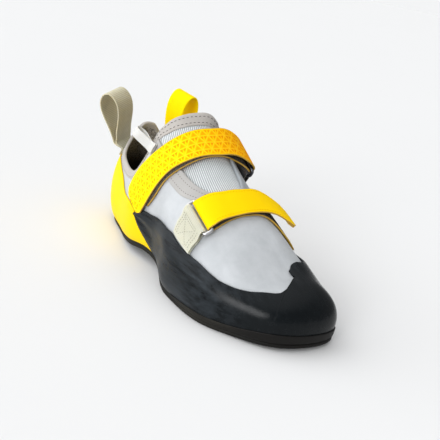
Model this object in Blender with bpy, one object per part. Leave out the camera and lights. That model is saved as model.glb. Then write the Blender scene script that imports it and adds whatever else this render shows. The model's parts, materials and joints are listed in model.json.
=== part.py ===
"""A climbing shoe for the right foot: hollow upper, thin sole, two rubber rands and two hook straps.

Metres, +X to the toe, +Y to the inner side of the foot, +Z up. The floor is z = 0, and the origin is
on the floor under the ball of the foot. The last is one surface, wrapped round the foot in columns:
each column starts at the sole's edge and climbs to the ridge line over the foot, the spine. Every
shell is a sheet on that surface, given its thickness along the surface's normal.
"""

import math

import bpy
import numpy as np

# Driving sizes of the last and the sole
LENGTH = 0.262
BALL_WIDTH = 0.098
INSTEP_HEIGHT = 0.120
COLLAR_HEIGHT = 0.092
ARCH_RISE = 0.009
SOLE_THICK = 0.0050
SOLE_MARGIN = 0.0022
SOLE_LIP = 0.0006
INSOLE_THICK = 0.0025
INSOLE_INSET = 0.0030

# Walls and clearances
GAP = 0.0003
UPPER_WALL = 0.0016
BINDING_STEP = 0.0005
BINDING_WIDTH = 0.0050
BINDING_SLOPE = 0.9
TONGUE_WALL = 0.0020
RAND_GAP = 0.0007
TOE_RAND_WALL = 0.0018
HEEL_RAND_WALL = 0.0014
RAND_SEAM = 0.0005
RAND_LEAST = 0.01

# Straps, rings and loops
STRAP_THICK = 0.0013
TAB_THICK = 0.0011
RING_WIRE = 0.0028
RING_OPENING = 0.0044
LOOP_THICK = 0.0012
HEEL_LOOP_WIDTH = 0.0180
HEEL_LOOP_HEIGHT = 0.0522
INNER_LOOP_WIDTH = 0.0210
INNER_LOOP_HEIGHT = 0.0650
COLLAR_LOOP_WIDTH = 0.0070
COLLAR_LOOP_LENGTH = 0.0265

ORIGIN_STATION = 0.70

# The columns of the last. outline_x and station are shares of LENGTH, outline_y, bulge and lean of
# BALL_WIDTH, and widest of INSTEP_HEIGHT. Column 0 is the toe tip, 1 to 9 the inner side, 10 the
# heel and 11 to 19 the outer side.
COLUMNS = (
    # name, outline_x, outline_y, station, bulge, widest, lean
    ("toe_tip", 0.994, 0.165, 0.880, 0.012, 0.084, 0.00),
    ("toe_inner", 0.976, 0.372, 0.872, 0.004, 0.070, 0.00),
    ("big_toe", 0.915, 0.416, 0.855, 0.010, 0.080, 0.00),
    ("inner_toes", 0.838, 0.430, 0.815, 0.031, 0.108, 0.00),
    ("inner_ball", 0.745, 0.434, 0.740, 0.041, 0.125, 0.00),
    ("inner_arch", 0.620, 0.390, 0.630, 0.071, 0.167, 0.00),
    ("inner_waist", 0.480, 0.295, 0.500, 0.102, 0.200, 0.00),
    ("inner_ankle", 0.330, 0.245, 0.350, 0.092, 0.225, 0.03),
    ("inner_quarter", 0.200, 0.255, 0.225, 0.061, 0.233, 0.06),
    ("inner_heel", 0.082, 0.225, 0.150, 0.070, 0.240, 0.11),
    ("heel_back", 0.028, 0.000, 0.130, 0.082, 0.267, 0.16),
    ("outer_heel", 0.080, -0.188, 0.150, 0.085, 0.242, 0.12),
    ("outer_quarter", 0.200, -0.272, 0.225, 0.078, 0.242, 0.08),
    ("outer_ankle", 0.330, -0.370, 0.350, 0.051, 0.225, 0.03),
    ("outer_waist", 0.470, -0.352, 0.490, 0.051, 0.183, 0.00),
    ("outer_arch", 0.580, -0.442, 0.600, 0.041, 0.150, 0.00),
    ("outer_ball", 0.680, -0.474, 0.690, 0.036, 0.125, 0.00),
    ("outer_toes", 0.790, -0.442, 0.780, 0.031, 0.108, 0.00),
    ("little_toe", 0.889, -0.292, 0.850, 0.026, 0.100, 0.00),
    ("toe_outer", 0.967, -0.112, 0.875, 0.020, 0.092, 0.00),
)

# The spine over the foot, and the leg above the collar that the shoe is cut from. station is a
# share of LENGTH, side of BALL_WIDTH and height of INSTEP_HEIGHT; roundness 2 is an ellipse.
SPINE = (
    # station, side, height, roundness
    (0.10, -0.006, 1.504, 2.00),
    (0.20, -0.004, 1.455, 2.00),
    (0.30, -0.003, 1.256, 2.00),
    (0.38, 0.045, 1.030, 2.30),
    (0.46, 0.050, 0.872, 2.30),
    (0.54, 0.055, 0.739, 2.15),
    (0.62, 0.071, 0.643, 2.10),
    (0.70, 0.100, 0.546, 2.10),
    (0.78, 0.125, 0.444, 2.15),
    (0.84, 0.146, 0.358, 2.35),
    (0.90, 0.156, 0.317, 2.05),
)

# The sole's underside above the floor: station as a share of LENGTH, rise of ARCH_RISE
SOLE_RISE = (
    # station, rise
    (0.00, 0.44),
    (0.04, 0.10),
    (0.09, 0.00),
    (0.20, 0.00),
    (0.30, 0.44),
    (0.42, 1.00),
    (0.52, 0.67),
    (0.62, 0.00),
    (0.80, 0.00),
    (0.90, 0.09),
    (1.00, 0.28),
)

# Collar edge by column, as a share of COLLAR_HEIGHT
COLLAR = (
    # column, height
    (7.00, 0.97),
    (7.15, 0.88),
    (7.30, 0.78),
    (7.60, 0.69),
    (8.00, 0.655),
    (8.60, 0.69),
    (9.00, 0.76),
    (9.30, 0.90),
    (9.65, 1.00),
    (10.00, 1.01),
    (10.35, 1.00),
    (10.70, 0.90),
    (11.00, 0.76),
    (11.40, 0.69),
    (12.00, 0.655),
    (12.40, 0.68),
    (12.65, 0.74),
    (12.82, 0.86),
    (13.00, 1.06),
)

# Throat edges by station: how far each lies off the spine, 0 at the spine and 1 at the sole
THROAT_OUTER = (
    # station, side
    (0.400, 0.430),
    (0.440, 0.398),
    (0.477, 0.367),
    (0.535, 0.305),
    (0.588, 0.210),
    (0.615, 0.120),
    (0.640, 0.000),
)
THROAT_INNER = (
    # station, side
    (0.400, 0.340),
    (0.440, 0.260),
    (0.480, 0.200),
    (0.511, 0.171),
    (0.552, 0.140),
    (0.599, 0.060),
    (0.640, 0.000),
)
THROAT_START = 0.350
THROAT_END = 0.640

# Top edge of the black toe rand. Columns on the outer side are counted back from the toe tip, so
# -6 is outer_waist. height runs from 0 at the sole's edge to 1 at the spine.
TOE_RAND_TOP = (
    # column, height
    (-6.88, 0.235),
    (-6.59, 0.262),
    (-6.26, 0.279),
    (-6.10, 0.296),
    (-5.33, 0.383),
    (-4.80, 0.438),
    (-4.30, 0.442),
    (-3.90, 0.458),
    (-3.35, 0.479),
    (-2.90, 0.479),
    (-2.45, 0.500),
    (-2.10, 0.542),
    (-1.75, 0.613),
    (-1.32, 0.679),
    (-1.18, 0.758),
    (-0.92, 0.900),
    (2.10, 1.000),
    (2.40, 0.975),
    (2.70, 0.940),
    (2.90, 0.871),
    (3.00, 0.767),
    (3.20, 0.660),
    (3.60, 0.550),
    (4.20, 0.470),
    (5.00, 0.400),
    (6.00, 0.330),
    (6.88, 0.235),
)
TOE_PATCH = (-0.90, 2.10)

# Columns between the last row of a rand's top and its end, and the least from there to the next
TOE_RAND_END = 0.04
TOE_RAND_CLEAR = 0.12
HEEL_RAND_END = 0.06
HEEL_RAND_CLEAR = 0.10
SEAM_LOWEST = 0.05

# Slanted seam where the toe rand's rear edge meets the heel rand, the same on both sides
RAND_JOIN = (
    # columns from the toe tip, height
    (5.90, 0.020),
    (6.14, 0.080),
    (6.36, 0.125),
    (6.60, 0.171),
    (6.74, 0.203),
    (6.88, 0.235),
)

# Top edge of the yellow heel rand, by columns away from the heel
HEEL_RAND_TOP = (
    # columns from the heel, height
    (0.00, 0.320),
    (0.50, 0.326),
    (1.10, 0.333),
    (1.80, 0.311),
    (2.30, 0.280),
    (2.75, 0.270),
    (3.12, 0.250),
    (4.20, 0.240),
)

# Straps, laid across the foot. side is 0 on the spine, -1 at the outer sole edge and 1 at the
# inner one; rear and front are the strap's edges as stations, and lift is in metres. A ring's row
# is the bar that the strap turns round, then how far the ring hangs down from it in degrees.
STRAP_REAR_UNDER = (
    # side, rear, front, lift
    (-0.700, 0.352, 0.430, 0.0),
    (-0.625, 0.366, 0.450, 0.0),
    (-0.480, 0.385, 0.466, 0.0),
    (-0.370, 0.400, 0.480, 0.0),
    (-0.220, 0.416, 0.490, 0.0),
    (-0.070, 0.422, 0.493, 0.0),
    (0.110, 0.424, 0.497, 0.0),
    (0.220, 0.430, 0.507, 0.0034),
)
STRAP_REAR_OVER = (
    # side, rear, front, lift
    (0.220, 0.434, 0.511, 0.0080),
    (0.110, 0.424, 0.498, 0.0040),
    (-0.060, 0.422, 0.493, 0.0006),
    (-0.260, 0.412, 0.482, 0.0003),
    (-0.410, 0.393, 0.465, 0.0003),
    (-0.570, 0.362, 0.448, 0.0003),
    (-0.690, 0.337, 0.436, 0.0003),
    (-0.735, 0.352, 0.415, 0.0003),
)
STRAP_REAR_RING = (0.300, 0.436, 0.516, 0.0100, 32.0)

STRAP_FRONT_UNDER = (
    # side, rear, front, lift
    (0.440, 0.656, 0.740, 0.0),
    (0.370, 0.647, 0.733, 0.0),
    (0.300, 0.636, 0.722, 0.0),
    (0.220, 0.622, 0.702, 0.0),
    (0.120, 0.612, 0.688, 0.0),
    (0.000, 0.609, 0.683, 0.0),
    (-0.100, 0.609, 0.683, 0.0),
    (-0.220, 0.606, 0.688, 0.0),
)
STRAP_FRONT_OVER = (
    # side, rear, front, lift
    (-0.240, 0.605, 0.686, 0.0030),
    (-0.120, 0.609, 0.684, 0.0014),
    (0.000, 0.609, 0.682, 0.0012),
    (0.120, 0.610, 0.684, 0.0026),
    (0.200, 0.620, 0.690, 0.0046),
    (0.280, 0.638, 0.707, 0.0072),
    (0.340, 0.652, 0.716, 0.0092),
)
STRAP_FRONT_RING = (-0.315, 0.604, 0.690, 0.0038, 6.0)

TAB_FRONT = (
    # side, rear, front
    (-0.535, 0.619, 0.697),
    (-0.500, 0.613, 0.695),
    (-0.435, 0.606, 0.693),
)
TAB_REAR = (
    # side, rear, front
    (0.690, 0.352, 0.444),
    (0.640, 0.376, 0.464),
    (0.590, 0.392, 0.474),
)

# Pull loops: the loop's middle column, half its width in columns, the heights of its lowest stitch
# and of its free part in shares of COLLAR_HEIGHT, its lean out and sideways in degrees, how wide it
# stands open, and 1 if it is sewn outside the upper, -1 inside.
HEEL_LOOP = (10.40, 0.36, 0.640, 0.690, 12.0, 13.0, 1.41, 1)
INNER_LOOP = (8.66, 0.29, 0.560, 0.800, -1.0, 6.0, 1.00, -1)
PULL_LOOP_INSET = 0.012
PULL_LOOP_ROWS = 3
PULL_LOOP_CLEAR = 0.0040

# The small loop at the front corner of the collar: middle height as a share of COLLAR_HEIGHT, the
# columns between which it is sewn, its rise over its length, and how wide it stands open.
COLLAR_LOOP_Z = 0.985
COLLAR_LOOP_SEWN = (12.99, 13.12)
COLLAR_LOOP_RISE = 0.25
COLLAR_LOOP_OPEN = 1.2

# The free part of a pull loop: share of the free height, and how far the ply stands back or forward
# of the middle
TEARDROP = (
    # up, out
    (0.12, -0.010),
    (0.35, -0.050),
    (0.60, -0.110),
    (0.82, -0.120),
    (0.95, -0.070),
    (1.00, 0.000),
    (0.96, 0.075),
    (0.84, 0.130),
    (0.62, 0.120),
    (0.36, 0.060),
    (0.12, 0.022),
)

# The sheets' shared levels, how near to one a sheet's own edge may lie, and how near under a binding
LEVELS = (0.0, 0.06, 0.12, 0.18, 0.25, 0.33, 0.41, 0.49, 0.57, 0.65, 0.73, 0.81, 0.88, 0.94, 1.0)
LEVEL_CLEAR = 0.012
BINDING_CLEAR = 0.020
LOWER_SHARE = 0.25

# Steps in column and level by which the surface's slope is read, and halvings in each search
NORMAL_STEP = 0.004
SLOPE_STEP = 0.010
SEARCH_STEPS = 40

# Above the collar the heel's lean goes on to this many times the collar's height
LEAN_REACH = 1.3
SHARP_EDGE = math.radians(40)

# Rubber, cloth and metal: colour, roughness and metallic value
FINISHES = {
    "outsole_rubber": ((0.030, 0.028, 0.026), 0.70, 0.0),
    "rand_rubber": ((0.022, 0.024, 0.027), 0.50, 0.0),
    "heel_rubber": ((0.950, 0.700, 0.010), 0.38, 0.0),
    "microfibre": ((0.560, 0.575, 0.600), 0.85, 0.0),
    "knit": ((0.640, 0.655, 0.680), 0.90, 0.0),
    "insole_cloth": ((0.060, 0.055, 0.050), 0.95, 0.0),
    "strap_print": ((0.950, 0.520, 0.020), 0.60, 0.0),
    "strap_plain": ((0.950, 0.660, 0.010), 0.60, 0.0),
    "webbing": ((0.560, 0.550, 0.430), 0.80, 0.0),
    "grey_webbing": ((0.400, 0.390, 0.350), 0.80, 0.0),
    "yellow_webbing": ((0.950, 0.680, 0.010), 0.70, 0.0),
    "ring_metal": ((0.550, 0.550, 0.560), 0.30, 1.0),
}


class Loop:
    """A closed smooth curve of one value through evenly numbered columns."""

    def __init__(self, values):
        self.y = np.array(values, float)
        count = len(self.y)
        rows = np.arange(count)
        matrix = 4.0 * np.eye(count)
        matrix[rows, (rows - 1) % count] += 1.0
        matrix[rows, (rows + 1) % count] += 1.0
        bend = 6.0 * (np.roll(self.y, -1) - 2.0 * self.y + np.roll(self.y, 1))
        self.m = np.linalg.solve(matrix, bend)

    def __call__(self, column):
        count = len(self.y)
        column = column % count
        low = int(column) % count
        high = (low + 1) % count
        f = column - int(column)
        g = 1.0 - f
        bend = (g ** 3 - g) * self.m[low] + (f ** 3 - f) * self.m[high]
        return g * self.y[low] + f * self.y[high] + bend / 6.0


class Curve:
    """A smooth curve of one value through (x, y) rows, held level past both ends."""

    def __init__(self, xs, ys):
        self.x = np.array(xs, float)
        self.y = np.array(ys, float)
        step = np.diff(self.x)
        slope = np.diff(self.y) / step
        matrix = np.eye(len(self.x))
        bend = np.zeros(len(self.x))
        for i in range(1, len(self.x) - 1):
            matrix[i, i - 1] = step[i - 1]
            matrix[i, i] = 2.0 * (step[i - 1] + step[i])
            matrix[i, i + 1] = step[i]
            bend[i] = 6.0 * (slope[i] - slope[i - 1])
        self.m = np.linalg.solve(matrix, bend)

    def __call__(self, at):
        at = min(max(at, self.x[0]), self.x[-1])
        i = min(max(int(np.searchsorted(self.x, at)) - 1, 0), len(self.x) - 2)
        step = self.x[i + 1] - self.x[i]
        f = (at - self.x[i]) / step
        g = 1.0 - f
        bend = (g ** 3 - g) * self.m[i] + (f ** 3 - f) * self.m[i + 1]
        return g * self.y[i] + f * self.y[i + 1] + step * step * bend / 6.0


class Ramp:
    """A curve through (x, y) rows that never overshoots them, held level past both ends."""

    def __init__(self, rows):
        rows = sorted(rows)
        self.x = np.array([row[0] for row in rows], float)
        self.y = np.array([row[1] for row in rows], float)
        slope = np.diff(self.y) / np.diff(self.x)
        self.s = np.zeros(len(self.x))
        for i in range(1, len(self.x) - 1):
            before, after = slope[i - 1], slope[i]
            if before * after > 0:
                self.s[i] = 2.0 * before * after / (before + after)

    def __call__(self, at):
        at = min(max(at, self.x[0]), self.x[-1])
        i = min(max(int(np.searchsorted(self.x, at)) - 1, 0), len(self.x) - 2)
        step = self.x[i + 1] - self.x[i]
        f = (at - self.x[i]) / step
        value = (2 * f ** 3 - 3 * f ** 2 + 1) * self.y[i] + (3 * f ** 2 - 2 * f ** 3) * self.y[i + 1]
        lean = (f ** 3 - 2 * f ** 2 + f) * self.s[i] + (f ** 3 - f ** 2) * self.s[i + 1]
        return value + step * lean


outline_x = Loop([row[1] for row in COLUMNS])
outline_y = Loop([row[2] for row in COLUMNS])
station_of = Loop([row[3] for row in COLUMNS])
bulge_of = Loop([row[4] for row in COLUMNS])
widest_of = Loop([row[5] for row in COLUMNS])
lean_of = Loop([row[6] for row in COLUMNS])
spine_side = Curve([row[0] for row in SPINE], [row[1] for row in SPINE])
spine_height = Curve([row[0] for row in SPINE], [row[2] for row in SPINE])
roundness = Curve([row[0] for row in SPINE], [row[3] for row in SPINE])
sole_rise = Ramp(SOLE_RISE)
collar_height = Ramp(COLLAR)
toe_rand_top = Ramp(TOE_RAND_TOP)
rand_join = Ramp(RAND_JOIN)
heel_rand_top = Ramp(HEEL_RAND_TOP)


def unit(vector):
    return vector / np.linalg.norm(vector)


def sole_top(column):
    """Height of the sole's upper face at a column's foot."""
    return sole_rise(outline_x(column)) * ARCH_RISE + SOLE_THICK


def column_sizes(column):
    """Foot height, height of the widest place, and ridge height of one column."""
    foot = sole_top(column)
    wide = foot + widest_of(column) * INSTEP_HEIGHT
    ridge = spine_height(station_of(column)) * INSTEP_HEIGHT
    return foot, wide, ridge


def last(column, level):
    """Point of the last's surface: level 0 at the sole's edge, 1 on the spine."""
    station = station_of(column)
    spine = np.array((station * LENGTH, spine_side(station) * BALL_WIDTH))
    rim = np.array((outline_x(column) * LENGTH, outline_y(column) * BALL_WIDTH))
    reach = np.linalg.norm(rim - spine)
    away = (rim - spine) / reach
    foot, wide, ridge = column_sizes(column)
    bulge = bulge_of(column) * BALL_WIDTH
    power = 2.0 / roundness(station)
    if level < LOWER_SHARE:
        angle = level / LOWER_SHARE * math.pi / 2
        r = reach + bulge * math.sin(angle)
        z = foot + (wide - foot) * (1.0 - math.cos(angle))
    else:
        angle = (level - LOWER_SHARE) / (1.0 - LOWER_SHARE) * math.pi / 2
        r = (reach + bulge) * abs(math.cos(angle)) ** power
        z = wide + (ridge - wide) * math.sin(angle) ** power
    up = min(max((z - wide) / (COLLAR_HEIGHT - wide), 0.0), LEAN_REACH)
    r -= lean_of(column) * BALL_WIDTH * up * up * (1.5 - 0.5 * up)
    x, y = spine + away * r
    return np.array((x - ORIGIN_STATION * LENGTH, y, z))


def level_at_height(column, z):
    """Level at which a column reaches a height above its widest place."""
    foot, wide, ridge = column_sizes(column)
    power = 2.0 / roundness(station_of(column))
    share = min(max((z - wide) / (ridge - wide), 0.0), 1.0)
    return LOWER_SHARE + (1.0 - LOWER_SHARE) * math.asin(share ** (1.0 / power)) * 2.0 / math.pi


def column_at(station, outer):
    """Column whose top lies at a station of the spine, on the outer or the inner side."""
    low, high = (10.0, 20.0) if outer else (10.0, 0.0)
    for _ in range(SEARCH_STEPS):
        middle = 0.5 * (low + high)
        if station_of(middle) < station:
            low = middle
        else:
            high = middle
    return 0.5 * (low + high)


def opposite(column):
    """Column on the other side that shares this column's place on the spine."""
    return column_at(station_of(column), outer=column <= 10.0)


def outward(column, level):
    """Outward unit normal of the last's surface."""
    step = NORMAL_STEP
    if level > 1.0 - 2 * step:
        near = outward(column, 1.0 - 2 * step)
        return unit(near + outward(opposite(column), 1.0 - 2 * step))
    across = last(column, level + step) - last(column, max(level - step, 0.0))
    along = last(column + step, level) - last(column - step, level)
    return unit(np.cross(along, across))


def skin(column, level, lift):
    """Point a distance outside the last's surface; a negative lift is inside it."""
    return last(column, level) + lift * outward(column, level)


def over(station, side, lift):
    """Point over the last by station and side: side 0 on the spine, -1 outer, 1 inner sole edge."""
    return skin(column_at(station, side < 0), 1.0 - abs(side), lift)


def stitch(left, right):
    """Triangles between two columns of (key, level) nodes, both from low to high."""
    faces = []
    i = 0
    j = 0
    while i < len(left) - 1 or j < len(right) - 1:
        left_next = j == len(right) - 1
        if not left_next and i < len(left) - 1:
            left_next = left[i + 1][1] <= right[j + 1][1] + 1e-9
        if left_next:
            faces.append((left[i][0], right[j][0], left[i + 1][0]))
            i += 1
        else:
            faces.append((left[i][0], right[j][0], right[j + 1][0]))
            j += 1
    return faces


def material(name):
    """One Principled material for each finish."""
    if name in bpy.data.materials:
        return bpy.data.materials[name]
    colour, rough, metal = FINISHES[name]
    made = bpy.data.materials.new(name)
    made.use_nodes = True
    shader = made.node_tree.nodes["Principled BSDF"]
    shader.inputs["Base Color"].default_value = (*colour, 1.0)
    shader.inputs["Roughness"].default_value = rough
    shader.inputs["Metallic"].default_value = metal
    made.diffuse_color = (*colour, 1.0)
    return made


def add_object(name, points, faces, finish):
    """One named object from points and faces, shaded smooth except at its sharp edges."""
    mesh = bpy.data.meshes.new(name)
    mesh.from_pydata([tuple(point) for point in points], [], faces)
    mesh.validate()
    mesh.shade_smooth()
    mesh.set_sharp_from_angle(angle=SHARP_EDGE)
    mesh.materials.append(material(finish))
    made = bpy.data.objects.new(name, mesh)
    bpy.context.scene.collection.objects.link(made)
    return made


def thicken(name, outside, inside, faces, finish):
    """Closed solid between two copies of one sheet, with walls along the sheet's open edges."""
    keys = sorted({key for face in faces for key in face})
    index = {key: i for i, key in enumerate(keys)}
    count = len(keys)
    solid = [tuple(index[key] for key in face) for face in faces]
    directed = {(face[i], face[(i + 1) % len(face)]) for face in solid for i in range(len(face))}
    walls = [(b, a, a + count, b + count) for a, b in sorted(directed) if (b, a) not in directed]
    under = [tuple(i + count for i in reversed(face)) for face in solid]
    points = [outside[key] for key in keys] + [inside[key] for key in keys]
    return add_object(name, points, solid + under + walls, finish)


def shell(name, columns, lift_out, lift_in, finish):
    """A wall on the last. columns: lists of (key, column, level, extra lift) from low to high."""
    faces = []
    for left, right in zip(columns, columns[1:]):
        faces += stitch([(n[0], n[2]) for n in left], [(n[0], n[2]) for n in right])
    outside = {}
    inside = {}
    for nodes in columns:
        for key, column, level, extra in nodes:
            if key in outside:
                continue
            normal = outward(column, level)
            base = last(column, level)
            outside[key] = base + normal * (lift_out + extra)
            inside[key] = base + normal * lift_in
    return thicken(name, outside, inside, faces, finish)


def ladder(low, high, clearance=LEVEL_CLEAR):
    """Levels of one column from low to high, with the shared levels between them."""
    return [low] + [v for v in LEVELS if low + clearance < v < high - clearance] + [high]


def front_pairs(end_station, count):
    """Inner columns from the toe tip back to a station, each with its outer partner."""
    last_column = column_at(end_station, outer=False)
    return [last_column * i / count for i in range(count + 1)]


CLOSED_COUNT = 13
OPEN_COUNT = 17
FRONT = front_pairs(THROAT_END, CLOSED_COUNT)
INNER_OPEN = [FRONT[-1] + (10.0 - FRONT[-1]) * i / OPEN_COUNT for i in range(1, OPEN_COUNT + 1)]
OUTER_END = opposite(FRONT[-1])
OUTER_OPEN = [10.0 + (OUTER_END - 10.0) * i / OPEN_COUNT for i in range(1, OPEN_COUNT)]
OUTER_FRONT = [opposite(column) for column in reversed(FRONT[1:])]
AROUND = FRONT + INNER_OPEN + OUTER_OPEN + OUTER_FRONT


def ridge_key(column):
    """Key shared by the two columns that meet at one point of the spine."""
    station = station_of(column)
    return (-1, min(range(len(FRONT)), key=lambda i: abs(station_of(FRONT[i]) - station)))


def throat_curve(rows, start_column):
    """Throat edge that begins at the collar's corner on one side."""
    corner = 1.0 - level_at_height(start_column, collar_height(start_column) * COLLAR_HEIGHT)
    return Ramp(((THROAT_START, corner),) + rows)


throat_outer = throat_curve(THROAT_OUTER, column_at(THROAT_START, outer=True))
throat_inner = throat_curve(THROAT_INNER, column_at(THROAT_START, outer=False))


def opening_level(column):
    """Level of the collar's or the throat's edge; 1 where the upper closes over the foot."""
    station = station_of(column)
    if station >= THROAT_END - 1e-6:
        return 1.0
    if station <= THROAT_START:
        return level_at_height(column, collar_height(column) * COLLAR_HEIGHT)
    edge = throat_outer if column > 10.0 else throat_inner
    return 1.0 - edge(station)


def level_step(column, level, distance):
    """How much a column's level changes over a distance along the surface."""
    run = np.linalg.norm(last(column, level) - last(column, level - SLOPE_STEP))
    return distance * SLOPE_STEP / run


def upper_columns():
    """The upper's sheet, with a bound edge as a step in its wall."""
    sheet = []
    for number, column in enumerate(AROUND + [20.0]):
        column = column % 20.0
        number = number % len(AROUND)
        top = opening_level(column)
        if top == 1.0:
            levels = ladder(0.0, 1.0)
            nodes = [((number, i), column, v, 0.0) for i, v in enumerate(levels[:-1])]
            nodes.append((ridge_key(column), column, 1.0, 0.0))
        else:
            band = level_step(column, top, BINDING_WIDTH)
            levels = ladder(0.0, top - band, BINDING_CLEAR)
            nodes = [((number, i), column, v, 0.0) for i, v in enumerate(levels)]
            nodes.append(((number, len(levels)), column, top - band * BINDING_SLOPE, BINDING_STEP))
            nodes.append(((number, len(levels) + 1), column, top, BINDING_STEP))
        sheet.append(nodes)
    return sheet


def build_upper():
    return shell("upper", upper_columns(), 0.0, -UPPER_WALL, "microfibre")


def foot_level(column, lift):
    """Lowest level at which a wall of this lift stands clear of the sole's upper face."""
    low, high = 0.0, LOWER_SHARE
    foot = sole_top(column)
    for _ in range(SEARCH_STEPS):
        middle = 0.5 * (low + high)
        if skin(column, middle, lift)[2] < foot:
            low = middle
        else:
            high = middle
    return high


def seam_level(column):
    """Level of the seam between the two rands on a column."""
    from_toe = column if column <= 10.0 else 20.0 - column
    return rand_join(from_toe)


def build_toe_rand():
    """Black rand from the rear joins round the toe, closed over the big toe."""
    lift = RAND_GAP + TOE_RAND_WALL
    reach = TOE_RAND_TOP[-1][0]
    span = [c - 20.0 for c in AROUND if c - 20.0 > -reach] + [0.0] + [c for c in AROUND if 0 < c < reach]
    span = [q for q in span if abs(abs(q) - reach) > TOE_RAND_CLEAR]
    span = [TOE_RAND_END - reach] + span + [reach - TOE_RAND_END]
    sheet = []
    for number, q in enumerate(sorted(set(span))):
        column = q % 20.0
        low = foot_level(column, lift)
        if abs(q) > RAND_JOIN[0][0]:
            seam = seam_level(column)
            low = max(low, seam + level_step(column, max(seam, SEAM_LOWEST), RAND_SEAM))
        closed = TOE_PATCH[0] <= q <= TOE_PATCH[1]
        top = 1.0 if closed else toe_rand_top(q)
        top = max(top, low + RAND_LEAST)
        levels = ladder(low, top)
        nodes = [((number, i), column, v, 0.0) for i, v in enumerate(levels)]
        if closed:
            nodes[-1] = (ridge_key(column), column, 1.0, 0.0)
        sheet.append(nodes)
    return shell("toe_rand", sheet, lift, RAND_GAP, "rand_rubber")


def build_heel_rand():
    """Yellow rand round the heel, ending under the seams with the toe rand."""
    lift = GAP + HEEL_RAND_WALL
    first = RAND_JOIN[0][0] + HEEL_RAND_END
    inset = first + HEEL_RAND_CLEAR
    span = [first] + [c for c in AROUND if inset < c < 20.0 - inset] + [20.0 - first]
    sheet = []
    for number, column in enumerate(span):
        low = foot_level(column, lift)
        top = heel_rand_top(abs(column - 10.0))
        seam = seam_level(column)
        top = min(top, seam) if abs(column - 10.0) > 10.0 - RAND_JOIN[-1][0] else top
        top = max(top, low + RAND_LEAST)
        nodes = [((number, i), column, v, 0.0) for i, v in enumerate(ladder(low, top))]
        sheet.append(nodes)
    return shell("heel_rand", sheet, lift, GAP, "heel_rubber")


def plan_ring(outset, z_of):
    """Points round the sole's outline, moved out from the last's edge."""
    ring = []
    for column in AROUND:
        edge = last(column, 0.0)
        inner = last(column, 1.0)
        away = edge - inner
        away[2] = 0.0
        point = edge + unit(away) * outset
        point[2] = z_of(column)
        ring.append(point)
    return ring


def cap(ring):
    """Triangles that fill a closed outline from its toe to its heel, face up."""
    toe = int(np.argmax([point[0] for point in ring]))
    heel = int(np.argmin([point[0] for point in ring]))
    count = len(ring)
    inner = [(toe + i) % count for i in range((heel - toe) % count + 1)]
    outer = [(toe - i) % count for i in range((toe - heel) % count + 1)]
    left = [(i, -ring[i][0]) for i in outer]
    right = [(i, -ring[i][0]) for i in inner]
    return [face for face in stitch(left, right) if len(set(face)) == 3]


def stacked(name, rings, finish):
    """Closed solid through rings listed from the bottom up, capped at both ends."""
    count = len(rings[0])
    points = [point for ring in rings for point in ring]
    faces = []
    for level in range(len(rings) - 1):
        for i in range(count):
            j = (i + 1) % count
            base = level * count
            faces.append((base + i, base + j, base + count + j, base + count + i))
    top = (len(rings) - 1) * count
    lid = cap(rings[-1])
    floor = cap(rings[0])
    faces += [tuple(top + i for i in face) for face in lid]
    faces += [tuple(reversed(face)) for face in floor]
    return add_object(name, points, faces, finish)


# The sole's edge from the ground up: a bevel, a lip and a step back to the rand
SOLE_PROFILE = (
    # share of the lip by which it stands out, share of the height
    (-1.0, 0.00),
    (1.0, 0.18),
    (1.0, 0.62),
    (0.0, 0.74),
    (0.0, 1.00),
)


def build_outsole():
    """Thin sole with a bevelled lower edge and a step round its side."""
    def at(share):
        return lambda column: sole_top(column) - GAP - (SOLE_THICK - GAP) * (1.0 - share)

    rings = [plan_ring(SOLE_MARGIN + out * SOLE_LIP, at(share)) for out, share in SOLE_PROFILE]
    return stacked("outsole", rings, "outsole_rubber")


def build_insole():
    """Thin board inside the upper, on the sole."""
    def at(lift):
        return lambda column: sole_top(column) + lift

    rings = [
        plan_ring(-INSOLE_INSET, at(0.0)),
        plan_ring(-INSOLE_INSET, at(INSOLE_THICK)),
    ]
    return stacked("insole", rings, "insole_cloth")


TONGUE_SIDES = 17
TONGUE_STEPS = 12
TONGUE_TOP = (
    # side, station, lift
    (-0.52, 0.312, 0.0),
    (-0.44, 0.3175, 0.0),
    (-0.36, 0.339, 0.0),
    (-0.20, 0.366, 0.0),
    (-0.05, 0.378, 0.0010),
    (0.04, 0.382, 0.0026),
    (0.10, 0.387, 0.0042),
    (0.16, 0.394, 0.0042),
    (0.22, 0.402, 0.0018),
    (0.28, 0.408, 0.0),
    (0.34, 0.412, 0.0),
)
TONGUE_FRONT = 0.665
TONGUE_SINK = 0.0003
TONGUE_TAPER = 0.5
TONGUE_FLARE = 0.050


def build_tongue():
    """Knit panel under the throat, from a slightly flared top edge to inside the forefoot."""
    top_edge = Ramp([row[:2] for row in TONGUE_TOP])
    flare = Ramp([(row[0], row[2]) for row in TONGUE_TOP])
    first, final = TONGUE_TOP[0][0], TONGUE_TOP[-1][0]
    outside = {}
    inside = {}
    faces = []
    for i in range(TONGUE_SIDES):
        side = first + (final - first) * i / (TONGUE_SIDES - 1)
        start = top_edge(side)
        end = start + (TONGUE_FRONT - start) * (1.0 - TONGUE_TAPER * abs(side))
        for j in range(TONGUE_STEPS):
            station = start + (end - start) * j / (TONGUE_STEPS - 1)
            fade = max(1.0 - (station - start) / TONGUE_FLARE, 0.0)
            lift = flare(side) * fade ** 2 - (UPPER_WALL + GAP + TONGUE_SINK)
            outside[(i, j)] = over(station, side, lift)
            inside[(i, j)] = over(station, side, lift - TONGUE_WALL)
    for i in range(TONGUE_SIDES - 1):
        for j in range(TONGUE_STEPS - 1):
            faces.append(((i, j), (i, j + 1), (i + 1, j + 1)))
            faces.append(((i, j), (i + 1, j + 1), (i + 1, j)))
    return thicken("tongue", outside, inside, faces, "knit")


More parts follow.
